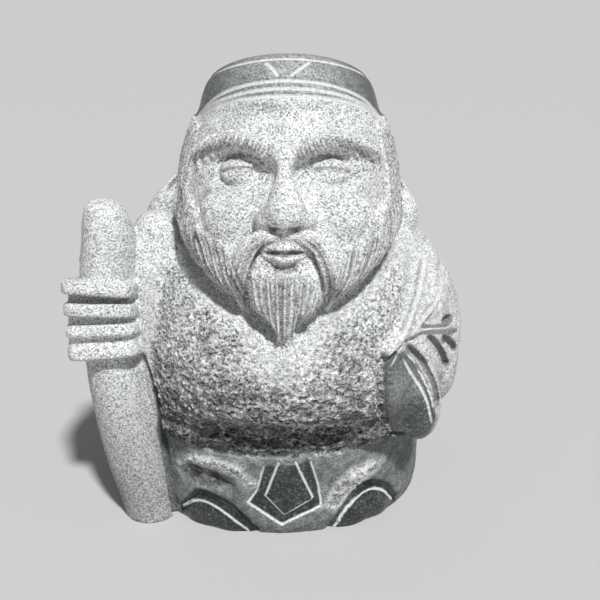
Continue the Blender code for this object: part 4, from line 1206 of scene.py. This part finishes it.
def make_statue():
    """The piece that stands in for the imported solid, fitted to the solid's box."""
    skin = decimated(carved_statue())
    cut_flat(skin)
    for name, values in finishes(read_vectors(skin.vertices, "co")).items():
        keep_values(skin, name, values)
    size = Matrix.Diagonal((UNIT * SNUG, UNIT * SNUG, UNIT, 1))
    skin.transform(size @ Matrix.Translation((-MIDDLE[0], -MIDDLE[1], 0)))
    skin.materials.clear()
    skin.materials.append(stone())
    skin.shade_smooth()
    statue = linked("carved_figure", skin)
    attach(statue, "root")
    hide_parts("statue")


# The camera's place in units, how many degrees it looks down, and its lens in millimetres.
CAMERA_PLACE = (11.6, -351.4, 209.2)
CAMERA_DOWN = 20
LENS = 54.6
SENSOR = 36

# The lights: the point they look at in metres, where they lie from it, and the sun's spread in degrees.
LIT_POINT = (0, 0, 0.09)
KEY_TOWARDS = (0.24, -0.7, 1.0)
KEY_POWER = 3.9
KEY_SPREAD = 5
FILL_TOWARDS = (-0.8, -0.8, 0.5)
FILL_POWER = 0.3
FILL_DISTANCE = 1.2
FILL_SIZE = 0.9
SKY = (0.86, 0.89, 0.93, 1)
SKY_POWER = 0.22

FLOOR_HALF = 12
FLOOR_COLOUR = (0.52, 0.52, 0.51, 1)
FLOOR_ROUGHNESS = 0.85


def make_camera():
    """The photograph's view: level across, and looking down by CAMERA_DOWN."""
    camera = linked("camera", bpy.data.cameras.new("camera"))
    camera.data.sensor_width = SENSOR
    camera.data.lens = LENS
    camera.data.clip_start = 0.01
    x, y, z = CAMERA_PLACE
    camera.location = UNIT * Vector((x - MIDDLE[0], y - MIDDLE[1], z))
    camera.rotation_euler = (math.radians(90 - CAMERA_DOWN), 0, 0)
    bpy.context.scene.camera = camera


def place_light(lamp, towards, distance=0):
    """Puts the lamp in the direction towards, looking at LIT_POINT."""
    light = linked(lamp.name, lamp)
    away = Vector(towards).normalized()
    light.location = Vector(LIT_POINT) + away * distance
    light.rotation_mode = "QUATERNION"
    light.rotation_quaternion = away.to_track_quat("Z", "Y")


def make_light():
    """A broad sun, a weak soft box from the left, and a pale sky."""
    key = bpy.data.lights.new("key", "SUN")
    key.energy = KEY_POWER
    key.angle = math.radians(KEY_SPREAD)
    place_light(key, KEY_TOWARDS)
    fill = bpy.data.lights.new("fill", "AREA")
    fill.energy = FILL_POWER
    fill.size = FILL_SIZE
    place_light(fill, FILL_TOWARDS, FILL_DISTANCE)
    world = bpy.data.worlds.new("studio")
    world.use_nodes = True
    background = world.node_tree.nodes["Background"]
    background.inputs["Color"].default_value = SKY
    background.inputs["Strength"].default_value = SKY_POWER
    bpy.context.scene.world = world


def make_floor():
    """A plain pale floor, which reaches past the picture on all sides."""
    half = FLOOR_HALF
    mesh = bpy.data.meshes.new("floor")
    corners = [(-half, -half, 0), (half, -half, 0), (half, half, 0), (-half, half, 0)]
    mesh.from_pydata(corners, [], [(0, 1, 2, 3)])
    n = Nodes("pale floor")
    n.shader.inputs["Base Color"].default_value = FLOOR_COLOUR
    n.shader.inputs["Roughness"].default_value = FLOOR_ROUGHNESS
    mesh.materials.append(n.material)
    linked("floor", mesh)


make_camera()
make_light()
make_floor()
make_statue()
bpy.context.scene.view_settings.view_transform = "Standard"
